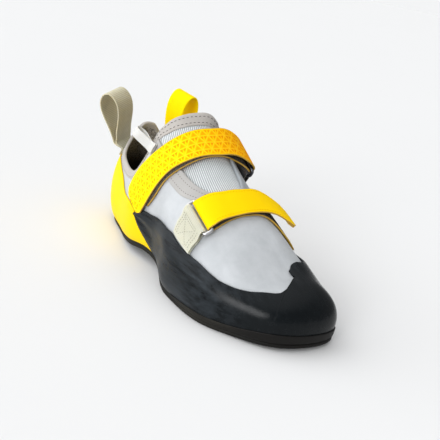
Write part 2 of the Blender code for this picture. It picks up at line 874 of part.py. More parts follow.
def ribbon(name, grid, thickness, finish):
    """A band through rows of points: each row runs across the band."""
    grid = np.array(grid)
    along = np.gradient(grid, axis=0)
    across = np.gradient(grid, axis=1)
    normal = np.cross(along, across)
    normal /= np.linalg.norm(normal, axis=2)[:, :, None]
    outside = {}
    inside = {}
    faces = []
    rows, wide = grid.shape[:2]
    for i in range(rows):
        for j in range(wide):
            outside[(i, j)] = grid[i, j] + normal[i, j] * thickness / 2
            inside[(i, j)] = grid[i, j] - normal[i, j] * thickness / 2
    for i in range(rows - 1):
        for j in range(wide - 1):
            faces.append(((i, j), (i + 1, j), (i + 1, j + 1)))
            faces.append(((i, j), (i + 1, j + 1), (i, j + 1)))
    return thicken(name, outside, inside, faces, finish)


ACROSS = 5
STRAP_STEPS = 11
TURN_STEPS = 7


def layer_rows(table, base_lift, steps):
    """Even rows (side, rear, front, lift) along one layer of a strap."""
    sides = [row[0] for row in table]
    curves = [Ramp([(row[0], row[i]) for row in table]) for i in (1, 2, 3)]
    rows = []
    for i in range(steps):
        side = sides[0] + (sides[-1] - sides[0]) * i / (steps - 1)
        rear, front, lift = (curve(side) for curve in curves)
        rows.append((side, rear, front, base_lift + lift))
    return rows


def ring_frame(ring):
    """Middle of the strap's bar, direction along it, away from the strap, normal, half length."""
    side, rear, front, lift = ring[:4]
    start = over(rear, side, lift)
    end = over(front, side, lift)
    along = unit(end - start)
    normal = outward(column_at((rear + front) / 2, side < 0), 1.0 - abs(side))
    normal = unit(normal - along * np.dot(normal, along))
    away = np.cross(normal, along) * math.copysign(1.0, side)
    return (start + end) / 2, along, away, normal, np.linalg.norm(end - start) / 2


def hung_frame(ring):
    """The same for the ring itself, turned about the strap's bar to hang down from it."""
    middle, along, away, normal, half = ring_frame(ring)
    hang = math.radians(ring[-1])
    down = away * math.cos(hang) - normal * math.sin(hang)
    return middle, along, down, normal * math.cos(hang) + away * math.sin(hang), half


def turn_points(middle, along, facing, normal, half, radius):
    """Rows of points round a bar, from the layer below it to the layer above it."""
    grid = []
    for i in range(TURN_STEPS):
        angle = math.pi * i / (TURN_STEPS - 1)
        centre = middle + facing * radius * math.sin(angle) - normal * radius * math.cos(angle)
        grid.append([centre + along * half * (2.0 * j / (ACROSS - 1) - 1.0) for j in range(ACROSS)])
    return grid


def band_points(rows):
    """Points across and along a band given as (side, rear, front, lift) rows."""
    grid = []
    for side, rear, front, lift in rows:
        line = []
        for j in range(ACROSS):
            line.append(over(rear + (front - rear) * j / (ACROSS - 1), side, lift))
        grid.append(line)
    return grid


RING_TURN = RING_WIRE / 2 + GAP + STRAP_THICK / 2
LAYER_SLACK = 0.0005
STRAP_BASE = GAP + STRAP_THICK / 2 + LAYER_SLACK
TAB_TURN = RING_WIRE / 2 + GAP + TAB_THICK / 2
TAB_STEPS = 4

# Height of a tab's upper ply over its lower one, and its rise at each row, in plies
TAB_BACK = 1.5
TAB_BACK_RISE = 0.4


def build_strap(name, under, above, ring, finish):
    """A strap whose under layer runs to the ring, turns round its bar and comes back over itself."""
    low = layer_rows(under, STRAP_BASE, STRAP_STEPS)
    high = layer_rows(above, STRAP_BASE + STRAP_THICK + GAP, STRAP_STEPS + 2)
    middle, along, away, normal, half = ring_frame(ring)
    turn = turn_points(middle, along, away, normal, half, RING_TURN)
    return ribbon(name, band_points(low) + turn + band_points(high), STRAP_THICK, finish)


def build_tab(name, table, ring, finish):
    """A webbing tab sewn to the upper and folded round the other bar of the ring."""
    middle, along, away, normal, half = hung_frame(ring)
    middle = middle + away * (RING_OPENING + RING_WIRE)
    base = GAP + TAB_THICK / 2 + LAYER_SLACK
    low = layer_rows([(*row, 0.0) for row in table], base, TAB_STEPS)
    turn = turn_points(middle, along, -away, normal, half, TAB_TURN)
    back = [(*row, TAB_THICK * (TAB_BACK + TAB_BACK_RISE * i)) for i, row in enumerate(table)]
    high = layer_rows(back[::-1], base, TAB_STEPS)
    return ribbon(name, band_points(low) + turn + band_points(high), TAB_THICK, finish)


RING_STEPS = 28
RING_SIDES = 8
RING_ROUND = 0.0022


def build_ring(name, ring):
    """A wire ring, long along the foot, bent from round wire with rounded corners."""
    middle, along, away, normal, half = hung_frame(ring)
    half_short = (RING_OPENING + RING_WIRE) / 2
    half_long = half + RING_WIRE / 2 + 2 * GAP
    centre = middle + away * half_short
    across = np.cross(normal, along)
    path = []
    for i in range(RING_STEPS):
        angle = 2 * math.pi * (i + 0.5) / RING_STEPS
        u = math.copysign(half_long - RING_ROUND, math.cos(angle)) + RING_ROUND * math.cos(angle)
        v = math.copysign(half_short - RING_ROUND, math.sin(angle)) + RING_ROUND * math.sin(angle)
        path.append(centre + along * u + across * v)
    points = []
    faces = []
    for i in range(RING_STEPS):
        tangent = unit(path[(i + 1) % RING_STEPS] - path[i - 1])
        sideways = unit(np.cross(normal, tangent))
        near = i * RING_SIDES
        far = ((i + 1) % RING_STEPS) * RING_SIDES
        for j in range(RING_SIDES):
            turn = 2 * math.pi * (j + 0.5) / RING_SIDES
            offset = sideways * math.cos(turn) + normal * math.sin(turn)
            points.append(path[i] + offset * RING_WIRE / 2)
            k = (j + 1) % RING_SIDES
            faces.append((near + j, near + k, far + k, far + j))
    return add_object(name, points, faces, "ring_metal")


def smooth_path(rows, steps):
    """Even points on a smooth curve through rows of coordinates."""
    rows = np.array(rows, float)
    run = np.concatenate(([0.0], np.cumsum(np.linalg.norm(np.diff(rows, axis=0), axis=1))))
    curves = [Curve(run, rows[:, i]) for i in range(rows.shape[1])]
    return [np.array([curve(run[-1] * i / (steps - 1)) for curve in curves]) for i in range(steps)]


LOOP_STEPS = 26


def build_pull_loop(name, place, width, height, finish):
    """A webbing pull loop: both plies sewn to the upper, a free teardrop above them."""
    column, half_columns, low, edge, lean, roll, spread, face = place
    lean, roll = math.radians(lean), math.radians(roll)
    low_z = low * COLLAR_HEIGHT
    lift_near = face * (GAP + LOOP_THICK / 2)
    if face < 0:
        lift_near -= UPPER_WALL + GAP
    lift_far = lift_near + face * (LOOP_THICK + GAP)

    def edge_at(at):
        return min(edge, collar_height(at) - PULL_LOOP_INSET) * COLLAR_HEIGHT

    level = level_at_height(column, edge_at(column))
    base = skin(column, level, (lift_near + lift_far) / 2 + face * PULL_LOOP_CLEAR)
    normal = outward(column, level)
    flat = unit(np.array((normal[0], normal[1], 0.0))) * face
    sideways = np.array((-flat[1], flat[0], 0.0))
    rise = np.array((0.0, 0.0, 1.0)) * math.cos(lean) + flat * math.sin(lean)
    rise = rise * math.cos(roll) + sideways * math.sin(roll)
    out = unit(flat - rise * np.dot(flat, rise))
    wide = np.cross(out, rise)
    rows = [base + (rise * up + out * back * spread) * height for up, back in TEARDROP]
    free = smooth_path(rows, LOOP_STEPS)

    def sewn(share, lift):
        row = []
        for j in range(ACROSS):
            at = column - face * half_columns * (2.0 * j / (ACROSS - 1) - 1.0)
            z = low_z + (edge_at(at) - low_z) * share
            row.append(skin(at, level_at_height(at, z), lift))
        return row

    shares = [i / PULL_LOOP_ROWS for i in range(PULL_LOOP_ROWS + 1)]
    grid = [sewn(share, lift_near) for share in shares[1:]]
    for point in free:
        grid.append([point + wide * width * (j / (ACROSS - 1) - 0.5) for j in range(ACROSS)])
    grid += [sewn(share, lift_far) for share in reversed(shares)]
    return ribbon(name, grid, LOOP_THICK, finish)


def build_collar_loop():
    """A small folded loop that points back over the collar from its outer front corner."""
    base = COLLAR_LOOP_Z * COLLAR_HEIGHT
    lift_near = BINDING_STEP + 2 * GAP + LOOP_THICK / 2
    lift_far = lift_near + LOOP_THICK + GAP
    start, end = COLLAR_LOOP_SEWN

    def sewn(column, lift):
        row = []
        for j in range(ACROSS):
            z = base + COLLAR_LOOP_WIDTH * (j / (ACROSS - 1) - 0.5)
            row.append(skin(column, level_at_height(column, z), lift))
        return row

    lift = (lift_near + lift_far) / 2
    root = skin(start, level_at_height(start, base), lift)
    run = root - skin(end, level_at_height(end, base), lift)
    back = unit(run + np.array((0.0, 0.0, COLLAR_LOOP_RISE * np.linalg.norm(run))))
    normal = outward(start, level_at_height(start, base))
    out = unit(normal - back * np.dot(normal, back))
    wide = np.cross(out, back)
    wide = wide * math.copysign(1.0, wide[2])
    open_out = out * COLLAR_LOOP_OPEN
    rows = [root + (back * up - open_out * away) * COLLAR_LOOP_LENGTH for up, away in TEARDROP]
    grid = [sewn(end, lift_far), sewn((start + end) / 2, lift_far)]
    for point in smooth_path(rows, LOOP_STEPS):
        grid.append([point + wide * COLLAR_LOOP_WIDTH * (j / (ACROSS - 1) - 0.5) for j in range(ACROSS)])
    grid += [sewn((start + end) / 2, lift_near), sewn(end, lift_near)]
    return ribbon("collar_loop", grid, LOOP_THICK, "webbing")


def build_all():
    build_outsole()
    build_insole()
    build_upper()
    build_tongue()
    build_toe_rand()
    build_heel_rand()
    build_strap("strap_rear", STRAP_REAR_UNDER, STRAP_REAR_OVER, STRAP_REAR_RING, "strap_print")
    build_strap("strap_front", STRAP_FRONT_UNDER, STRAP_FRONT_OVER, STRAP_FRONT_RING, "strap_plain")
    build_ring("ring_rear", STRAP_REAR_RING)
    build_ring("ring_front", STRAP_FRONT_RING)
    build_tab("ring_tab_rear", TAB_REAR, STRAP_REAR_RING, "webbing")
    build_tab("ring_tab_front", TAB_FRONT, STRAP_FRONT_RING, "webbing")
    build_pull_loop("heel_loop", HEEL_LOOP, HEEL_LOOP_WIDTH, HEEL_LOOP_HEIGHT, "grey_webbing")
    build_pull_loop("inner_loop", INNER_LOOP, INNER_LOOP_WIDTH, INNER_LOOP_HEIGHT, "yellow_webbing")
    build_collar_loop()


for old in list(bpy.data.objects):
    bpy.data.objects.remove(old)
build_all()
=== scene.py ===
import json
import math

import bmesh
import bpy
import numpy as np
from mathutils import Matrix, Vector

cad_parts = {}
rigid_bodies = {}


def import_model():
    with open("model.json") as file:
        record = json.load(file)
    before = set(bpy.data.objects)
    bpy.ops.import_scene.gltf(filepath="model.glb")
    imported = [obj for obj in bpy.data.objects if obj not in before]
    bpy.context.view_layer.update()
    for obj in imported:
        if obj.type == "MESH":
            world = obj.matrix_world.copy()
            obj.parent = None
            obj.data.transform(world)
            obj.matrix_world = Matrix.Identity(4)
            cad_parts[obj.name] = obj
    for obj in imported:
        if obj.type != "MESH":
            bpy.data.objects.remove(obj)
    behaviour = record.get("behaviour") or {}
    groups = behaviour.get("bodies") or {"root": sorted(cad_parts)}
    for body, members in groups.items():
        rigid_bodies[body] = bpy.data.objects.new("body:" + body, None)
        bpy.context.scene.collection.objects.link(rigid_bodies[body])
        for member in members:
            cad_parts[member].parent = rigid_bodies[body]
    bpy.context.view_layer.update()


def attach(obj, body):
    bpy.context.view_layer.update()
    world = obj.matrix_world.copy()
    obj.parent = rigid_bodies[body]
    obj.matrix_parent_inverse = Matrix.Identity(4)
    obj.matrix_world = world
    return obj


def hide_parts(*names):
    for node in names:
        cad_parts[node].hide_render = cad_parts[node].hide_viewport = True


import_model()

# The last that every piece is laid on: driving sizes in metres, as in the solid model
LENGTH = 0.262
BALL_WIDTH = 0.098
INSTEP_HEIGHT = 0.120
COLLAR_HEIGHT = 0.092
ARCH_RISE = 0.009
SOLE_THICK = 0.0050
SOLE_MARGIN = 0.0022
GAP = 0.0003
UPPER_WALL = 0.0016
TONGUE_WALL = 0.0020
RAND_GAP = 0.0007
TOE_RAND_WALL = 0.0018
HEEL_RAND_WALL = 0.0014
RAND_SEAM = 0.0005
STRAP_THICK = 0.0013
TAB_THICK = 0.0011
RING_WIRE = 0.0028
RING_OPENING = 0.0044
LOOP_THICK = 0.0012
ORIGIN_STATION = 0.70
LAYER_SLACK = 0.0005
LOWER_SHARE = 0.25
LEAN_END = 1.3
THROAT_START = 0.350
THROAT_END = 0.640

# The columns of the last. outline_x and station are shares of LENGTH, outline_y, bulge and lean of
# BALL_WIDTH, and widest of INSTEP_HEIGHT. Column 0 is the toe tip, 1 to 9 the inner side, 10 the
# heel and 11 to 19 the outer side.
COLUMNS = (
    # name, outline_x, outline_y, station, bulge, widest, lean
    ("toe_tip", 0.994, 0.165, 0.880, 0.012, 0.084, 0.00),
    ("toe_inner", 0.976, 0.372, 0.872, 0.004, 0.070, 0.00),
    ("big_toe", 0.915, 0.416, 0.855, 0.010, 0.080, 0.00),
    ("inner_toes", 0.838, 0.430, 0.815, 0.031, 0.108, 0.00),
    ("inner_ball", 0.745, 0.434, 0.740, 0.041, 0.125, 0.00),
    ("inner_arch", 0.620, 0.390, 0.630, 0.071, 0.167, 0.00),
    ("inner_waist", 0.480, 0.295, 0.500, 0.102, 0.200, 0.00),
    ("inner_ankle", 0.330, 0.245, 0.350, 0.092, 0.225, 0.03),
    ("inner_quarter", 0.200, 0.255, 0.225, 0.061, 0.233, 0.06),
    ("inner_heel", 0.082, 0.225, 0.150, 0.070, 0.240, 0.11),
    ("heel_back", 0.028, 0.000, 0.130, 0.082, 0.267, 0.16),
    ("outer_heel", 0.080, -0.188, 0.150, 0.085, 0.242, 0.12),
    ("outer_quarter", 0.200, -0.272, 0.225, 0.078, 0.242, 0.08),
    ("outer_ankle", 0.330, -0.370, 0.350, 0.051, 0.225, 0.03),
    ("outer_waist", 0.470, -0.352, 0.490, 0.051, 0.183, 0.00),
    ("outer_arch", 0.580, -0.442, 0.600, 0.041, 0.150, 0.00),
    ("outer_ball", 0.680, -0.474, 0.690, 0.036, 0.125, 0.00),
    ("outer_toes", 0.790, -0.442, 0.780, 0.031, 0.108, 0.00),
    ("little_toe", 0.889, -0.292, 0.850, 0.026, 0.100, 0.00),
    ("toe_outer", 0.967, -0.112, 0.875, 0.020, 0.092, 0.00),
)

# The spine over the foot, and the leg above the collar that the shoe is cut from. station is a
# share of LENGTH, side of BALL_WIDTH and height of INSTEP_HEIGHT; roundness 2 is an ellipse.
SPINE = (
    # station, side, height, roundness
    (0.10, -0.006, 1.504, 2.00),
    (0.20, -0.004, 1.455, 2.00),
    (0.30, -0.003, 1.256, 2.00),
    (0.38, 0.045, 1.030, 2.30),
    (0.46, 0.050, 0.872, 2.30),
    (0.54, 0.055, 0.739, 2.15),
    (0.62, 0.071, 0.643, 2.10),
    (0.70, 0.100, 0.546, 2.10),
    (0.78, 0.125, 0.444, 2.15),
    (0.84, 0.146, 0.358, 2.35),
    (0.90, 0.156, 0.317, 2.05),
)

# The sole's underside above the floor: station as a share of LENGTH, rise of ARCH_RISE
SOLE_RISE = (
    # station, rise
    (0.00, 0.44),
    (0.04, 0.10),
    (0.09, 0.00),
    (0.20, 0.00),
    (0.30, 0.44),
    (0.42, 1.00),
    (0.52, 0.67),
    (0.62, 0.00),
    (0.80, 0.00),
    (0.90, 0.09),
    (1.00, 0.28),
)

# Collar edge by column, as a share of COLLAR_HEIGHT
COLLAR = (
    # column, height
    (7.00, 0.97),
    (7.15, 0.88),
    (7.30, 0.78),
    (7.60, 0.69),
    (8.00, 0.655),
    (8.60, 0.69),
    (9.00, 0.76),
    (9.30, 0.90),
    (9.65, 1.00),
    (10.00, 1.01),
    (10.35, 1.00),
    (10.70, 0.90),
    (11.00, 0.76),
    (11.40, 0.69),
    (12.00, 0.655),
    (12.40, 0.68),
    (12.65, 0.74),
    (12.82, 0.86),
    (13.00, 1.06),
)

# Throat edges by station: how far each lies off the spine, 0 at the spine and 1 at the sole
THROAT_OUTER = (
    # station, side
    (0.400, 0.430),
    (0.440, 0.398),
    (0.477, 0.367),
    (0.535, 0.305),
    (0.588, 0.210),
    (0.615, 0.120),
    (0.640, 0.000),
)

THROAT_INNER = (
    # station, side
    (0.400, 0.340),
    (0.440, 0.260),
    (0.480, 0.200),
    (0.511, 0.171),
    (0.552, 0.140),
    (0.599, 0.060),
    (0.640, 0.000),
)

# Top edge of the black toe rand. Columns on the outer side are counted back from the toe tip, so
# -6 is outer_waist. height runs from 0 at the sole's edge to 1 at the spine.
TOE_RAND_TOP = (
    # column, height
    (-6.88, 0.235),
    (-6.59, 0.262),
    (-6.26, 0.279),
    (-6.10, 0.296),
    (-5.33, 0.383),
    (-4.80, 0.438),
    (-4.30, 0.442),
    (-3.90, 0.458),
    (-3.35, 0.479),
    (-2.90, 0.479),
    (-2.45, 0.500),
    (-2.10, 0.542),
    (-1.75, 0.613),
    (-1.32, 0.679),
    (-1.18, 0.758),
    (-0.92, 0.900),
    (2.10, 1.000),
    (2.40, 0.975),
    (2.70, 0.940),
    (2.90, 0.871),
    (3.00, 0.767),
    (3.20, 0.660),
    (3.60, 0.550),
    (4.20, 0.470),
    (5.00, 0.400),
    (6.00, 0.330),
    (6.88, 0.235),
)

# Slanted seam where the toe rand's rear edge meets the heel rand, the same on both sides
RAND_JOIN = (
    # columns from the toe tip, height
    (5.90, 0.020),
    (6.14, 0.080),
    (6.36, 0.125),
    (6.60, 0.171),
    (6.74, 0.203),
    (6.88, 0.235),
)

# Top edge of the yellow heel rand, by columns away from the heel
HEEL_RAND_TOP = (
    # columns from the heel, height
    (0.00, 0.320),
    (0.50, 0.326),
    (1.10, 0.333),
    (1.80, 0.311),
    (2.30, 0.280),
    (2.75, 0.270),
    (3.12, 0.250),
    (4.20, 0.240),
)

# Straps, laid across the foot. side is 0 on the spine, -1 at the outer sole edge and 1 at the
# inner one; rear and front are the strap's edges as stations, and lift is in metres. A ring's row
# is the bar that the strap turns round, then how far the ring hangs down from it in degrees.
STRAP_REAR_UNDER = (
    # side, rear, front, lift
    (-0.700, 0.352, 0.430, 0.0),
    (-0.625, 0.366, 0.450, 0.0),
    (-0.480, 0.385, 0.466, 0.0),
    (-0.370, 0.400, 0.480, 0.0),
    (-0.220, 0.416, 0.490, 0.0),
    (-0.070, 0.422, 0.493, 0.0),
    (0.110, 0.424, 0.497, 0.0),
    (0.220, 0.430, 0.507, 0.0034),
)

STRAP_REAR_OVER = (
    # side, rear, front, lift
    (0.220, 0.434, 0.511, 0.0080),
    (0.110, 0.424, 0.498, 0.0040),
    (-0.060, 0.422, 0.493, 0.0006),
    (-0.260, 0.412, 0.482, 0.0003),
    (-0.410, 0.395, 0.466, 0.0003),
    (-0.570, 0.360, 0.446, 0.0003),
    (-0.690, 0.325, 0.422, 0.0003),
    (-0.738, 0.312, 0.402, 0.0003),
)

STRAP_REAR_RING = (0.300, 0.436, 0.516, 0.0100, 32.0)

STRAP_FRONT_UNDER = (
    # side, rear, front, lift
    (0.440, 0.656, 0.740, 0.0),
    (0.370, 0.647, 0.733, 0.0),
    (0.300, 0.636, 0.722, 0.0),
    (0.220, 0.622, 0.702, 0.0),
    (0.120, 0.612, 0.688, 0.0),
    (0.000, 0.609, 0.683, 0.0),
    (-0.100, 0.609, 0.683, 0.0),
    (-0.220, 0.606, 0.688, 0.0),
)

STRAP_FRONT_OVER = (
    # side, rear, front, lift
    (-0.240, 0.605, 0.686, 0.0030),
    (-0.120, 0.609, 0.684, 0.0014),
    (0.000, 0.609, 0.682, 0.0012),
    (0.120, 0.610, 0.684, 0.0026),
    (0.200, 0.620, 0.690, 0.0046),
    (0.280, 0.638, 0.707, 0.0072),
    (0.340, 0.652, 0.716, 0.0092),
)

STRAP_FRONT_RING = (-0.315, 0.604, 0.690, 0.0038, 6.0)

TAB_FRONT = (
    # side, rear, front
    (-0.535, 0.619, 0.697),
    (-0.500, 0.613, 0.695),
    (-0.435, 0.606, 0.693),
)

TAB_REAR = (
    # side, rear, front
    (0.690, 0.352, 0.444),
    (0.640, 0.376, 0.464),
    (0.590, 0.392, 0.474),
)

# The free part of a pull loop, as shares of its free height: how far up a point lies, and how far
# behind or before the middle
TEARDROP = (
    # up, out
    (0.12, -0.010),
    (0.35, -0.050),
    (0.60, -0.110),
    (0.82, -0.120),
    (0.95, -0.070),
    (1.00, 0.000),
    (0.96, 0.075),
    (0.84, 0.130),
    (0.62, 0.120),
    (0.36, 0.060),
    (0.12, 0.022),
)

TONGUE_TOP = (
    # side, station, lift
    (-0.52, 0.312, 0.0),
    (-0.44, 0.3175, 0.0),
    (-0.36, 0.339, 0.0),
    (-0.20, 0.366, 0.0),
    (-0.05, 0.378, 0.0010),
    (0.04, 0.382, 0.0026),
    (0.10, 0.387, 0.0042),
    (0.16, 0.394, 0.0042),
    (0.22, 0.402, 0.0018),
    (0.28, 0.408, 0.0),
    (0.34, 0.412, 0.0),
)


class Loop:
    """A closed smooth curve of one value through evenly numbered columns."""

    def __init__(self, values):
        self.y = np.array(values, float)
        count = len(self.y)
        rows = np.arange(count)
        matrix = 4.0 * np.eye(count)
        matrix[rows, (rows - 1) % count] += 1.0
        matrix[rows, (rows + 1) % count] += 1.0
        bend = 6.0 * (np.roll(self.y, -1) - 2.0 * self.y + np.roll(self.y, 1))
        self.m = np.linalg.solve(matrix, bend)

    def __call__(self, column):
        count = len(self.y)
        column = np.asarray(column, float) % count
        low = np.floor(column).astype(int) % count
        high = (low + 1) % count
        f = column - np.floor(column)
        g = 1.0 - f
        bend = (g ** 3 - g) * self.m[low] + (f ** 3 - f) * self.m[high]
        return g * self.y[low] + f * self.y[high] + bend / 6.0


class Curve:
    """A smooth curve of one value through (x, y) rows, held level past both ends."""

    def __init__(self, xs, ys):
        self.x = np.array(xs, float)
        self.y = np.array(ys, float)
        step = np.diff(self.x)
        slope = (np.diff(self.y, axis=0).T / step).T
        matrix = np.eye(len(self.x))
        bend = np.zeros(self.y.shape)
        for i in range(1, len(self.x) - 1):
            matrix[i, i - 1] = step[i - 1]
            matrix[i, i] = 2.0 * (step[i - 1] + step[i])
            matrix[i, i + 1] = step[i]
            bend[i] = 6.0 * (slope[i] - slope[i - 1])
        self.m = np.linalg.solve(matrix, bend)

    def __call__(self, at):
        at = np.clip(np.asarray(at, float), self.x[0], self.x[-1])
        i = np.clip(np.searchsorted(self.x, at) - 1, 0, len(self.x) - 2)
        step = self.x[i + 1] - self.x[i]
        f = (at - self.x[i]) / step
        g = 1.0 - f
        if self.y.ndim > 1:
            f, g, step = f[..., None], g[..., None], step[..., None]
        bend = (g ** 3 - g) * self.m[i] + (f ** 3 - f) * self.m[i + 1]
        return g * self.y[i] + f * self.y[i + 1] + step * step * bend / 6.0


class Ramp:
    """A curve through (x, y) rows that never overshoots them, held level past both ends."""

    def __init__(self, rows):
        rows = sorted(rows)
        self.x = np.array([row[0] for row in rows], float)
        self.y = np.array([row[1] for row in rows], float)
        slope = np.diff(self.y) / np.diff(self.x)
        self.s = np.zeros(len(self.x))
        for i in range(1, len(self.x) - 1):
            before, after = slope[i - 1], slope[i]
            if before * after > 0:
                self.s[i] = 2.0 * before * after / (before + after)

    def __call__(self, at):
        at = np.clip(np.asarray(at, float), self.x[0], self.x[-1])
        i = np.clip(np.searchsorted(self.x, at) - 1, 0, len(self.x) - 2)
        step = self.x[i + 1] - self.x[i]
        f = (at - self.x[i]) / step
        value = (2 * f ** 3 - 3 * f ** 2 + 1) * self.y[i] + (3 * f ** 2 - 2 * f ** 3) * self.y[i + 1]
        lean = (f ** 3 - 2 * f ** 2 + f) * self.s[i] + (f ** 3 - f ** 2) * self.s[i + 1]
        return value + step * lean


outline_x = Loop([row[1] for row in COLUMNS])
outline_y = Loop([row[2] for row in COLUMNS])
station_of = Loop([row[3] for row in COLUMNS])
bulge_of = Loop([row[4] for row in COLUMNS])
widest_of = Loop([row[5] for row in COLUMNS])
lean_of = Loop([row[6] for row in COLUMNS])
spine_side = Curve([row[0] for row in SPINE], [row[1] for row in SPINE])
spine_height = Curve([row[0] for row in SPINE], [row[2] for row in SPINE])
roundness = Curve([row[0] for row in SPINE], [row[3] for row in SPINE])
sole_rise = Ramp(SOLE_RISE)
collar_height = Ramp(COLLAR)
toe_rand_top = Ramp(TOE_RAND_TOP)
rand_join = Ramp(RAND_JOIN)
heel_rand_top = Ramp(HEEL_RAND_TOP)

HEEL = 10.0
ROUND = 20.0
SIDE_COUNT = 4001
OUTER_SIDE = np.linspace(HEEL, ROUND, SIDE_COUNT)
INNER_SIDE = np.linspace(HEEL, 0.0, SIDE_COUNT)
OUTER_STATIONS = np.maximum.accumulate(station_of(OUTER_SIDE))
INNER_STATIONS = np.maximum.accumulate(station_of(INNER_SIDE))


def unit(vectors):
    return vectors / np.maximum(np.linalg.norm(vectors, axis=-1, keepdims=True), 1e-12)


def dot(a, b):
    return np.sum(a * b, axis=-1, keepdims=True)


def spread(values, count):
    """One value a row, repeated across a number of columns."""
    return np.repeat(values[:, None], count, 1)


def between(low, high, share):
    """A grid that runs from one value to another in each row."""
    return low[:, None] + (high - low)[:, None] * share


def run_along(points):
    """Distance along a line of points, from its first one."""
    return np.concatenate(([0.0], np.cumsum(np.linalg.norm(np.diff(points, axis=0), axis=1))))


def grid_normals(grid):
    return unit(np.cross(np.gradient(grid, axis=0), np.gradient(grid, axis=1)))


def smooth(share):
    """0 to 1 with level ends."""
    share = np.clip(share, 0.0, 1.0)
    return share * share * (3.0 - 2.0 * share)


def sole_top(column):
    """Height of the sole's upper face at a column's foot."""
    return sole_rise(outline_x(column)) * ARCH_RISE + SOLE_THICK


def column_sizes(column):
    """Foot height, height of the widest place, and ridge height of columns."""
    foot = sole_top(column)
    wide = foot + widest_of(column) * INSTEP_HEIGHT
    ridge = spine_height(station_of(column)) * INSTEP_HEIGHT
    return foot, wide, ridge


def last(column, level):
    """Points of the last's surface: level 0 at the sole's edge, 1 on the spine."""
    column, level = np.broadcast_arrays(np.asarray(column, float), np.asarray(level, float))
    station = station_of(column)
    spine = np.stack((station * LENGTH, spine_side(station) * BALL_WIDTH), -1)
    rim = np.stack((outline_x(column) * LENGTH, outline_y(column) * BALL_WIDTH), -1)
    reach = np.linalg.norm(rim - spine, axis=-1)
    away = (rim - spine) / reach[..., None]
    foot, wide, ridge = column_sizes(column)
    bulge = bulge_of(column) * BALL_WIDTH
    power = 2.0 / roundness(station)
    low = np.clip(level / LOWER_SHARE, 0.0, 1.0) * math.pi / 2
    high = np.clip((level - LOWER_SHARE) / (1.0 - LOWER_SHARE), 0.0, 1.0) * math.pi / 2
    below = level < LOWER_SHARE
    r = np.where(below, reach + bulge * np.sin(low), (reach + bulge) * np.abs(np.cos(high)) ** power)
    z_below = foot + (wide - foot) * (1.0 - np.cos(low))
    z = np.where(below, z_below, wide + (ridge - wide) * np.sin(high) ** power)
    up = np.clip((z - wide) / (COLLAR_HEIGHT - wide), 0.0, LEAN_END)
    r = r - lean_of(column) * BALL_WIDTH * up * up * (1.5 - 0.5 * up)
    flat = spine + away * r[..., None]
    return np.stack((flat[..., 0] - ORIGIN_STATION * LENGTH, flat[..., 1], z), -1)


def level_at_height(column, z):
    """Level at which columns reach a height above their widest place."""
    foot, wide, ridge = column_sizes(column)
    power = 2.0 / roundness(station_of(column))
    share = np.clip((z - wide) / (ridge - wide), 0.0, 1.0)
    return LOWER_SHARE + (1.0 - LOWER_SHARE) * np.arcsin(share ** (1.0 / power)) * 2.0 / math.pi


def column_at(station, outer):
    """Columns whose tops lie at stations of the spine, on the outer or the inner side."""
    on_outer = np.interp(station, OUTER_STATIONS, OUTER_SIDE)
    on_inner = np.interp(station, INNER_STATIONS, INNER_SIDE)
    return np.where(outer, on_outer, on_inner)


def opposite(column):
    """Columns on the other side that share these columns' places on the spine."""
    column = np.asarray(column, float) % ROUND
    return column_at(station_of(column), column <= HEEL)


NORMAL_STEP = 0.004
SPINE_BLEND = 0.03


def outward(column, level):
    """Outward unit normals of the last's surface, the same from both sides at the spine."""
    column, level = np.broadcast_arrays(np.asarray(column, float), np.asarray(level, float))

    def one_side(column):
        top = np.clip(level, 0.0, 1.0 - 2 * NORMAL_STEP)
        across = last(column, top + NORMAL_STEP) - last(column, np.maximum(top - NORMAL_STEP, 0.0))
        along = last(column + NORMAL_STEP, top) - last(column - NORMAL_STEP, top)
        return unit(np.cross(along, across))

    share = 0.5 * smooth((level - 1.0 + SPINE_BLEND) / SPINE_BLEND)[..., None]
    return unit(one_side(column) * (1.0 - share) + one_side(opposite(column)) * share)


def skin(column, level, lift):
    """Points a distance outside the last's surface; a negative lift is inside it."""
    return last(column, level) + np.asarray(lift)[..., None] * outward(column, level)


def over(station, side, lift):
    """Points over the last by station and side: side 0 on the spine, -1 outer, 1 inner sole edge."""
    station, side = np.broadcast_arrays(np.asarray(station, float), np.asarray(side, float))
    return skin(column_at(station, side < 0), 1.0 - np.abs(side), lift)


def throat_curve(rows, start_column):
    """Throat edge that begins at the collar's corner on one side."""
    corner = 1.0 - float(level_at_height(start_column, collar_height(start_column) * COLLAR_HEIGHT))
    return Ramp(((THROAT_START, corner),) + rows)


throat_outer = throat_curve(THROAT_OUTER, column_at(THROAT_START, True))
throat_inner = throat_curve(THROAT_INNER, column_at(THROAT_START, False))


def opening_level(column):
    """Level of the collar's or the throat's edge; 1 where the upper closes over the foot."""
    station = station_of(column)
    collar = level_at_height(column, collar_height(column) * COLLAR_HEIGHT)
    throat = 1.0 - np.where(column > HEEL, throat_outer(station), throat_inner(station))
    return np.where(station >= THROAT_END - 1e-6, 1.0, np.where(station <= THROAT_START, collar, throat))


LEVEL_PROBE = 0.01
SEARCH_STEPS = 18
LEAST_LEVEL = 0.004


def level_step(column, level, distance):
    """How much the level changes over a distance along the surface, column by column."""
    run = np.linalg.norm(last(column, level) - last(column, level - LEVEL_PROBE), axis=-1)
    return distance * LEVEL_PROBE / run


def foot_level(column, lift):
    """Lowest level at which a wall of this lift stands clear of the sole's upper face."""
    low = np.zeros(np.shape(column))
    high = np.full(np.shape(column), LOWER_SHARE)
    foot = sole_top(column)
    for _ in range(SEARCH_STEPS):
        middle = 0.5 * (low + high)
        under = skin(column, middle, lift)[..., 2] < foot
        low = np.where(under, middle, low)
        high = np.where(under, high, middle)
    return high


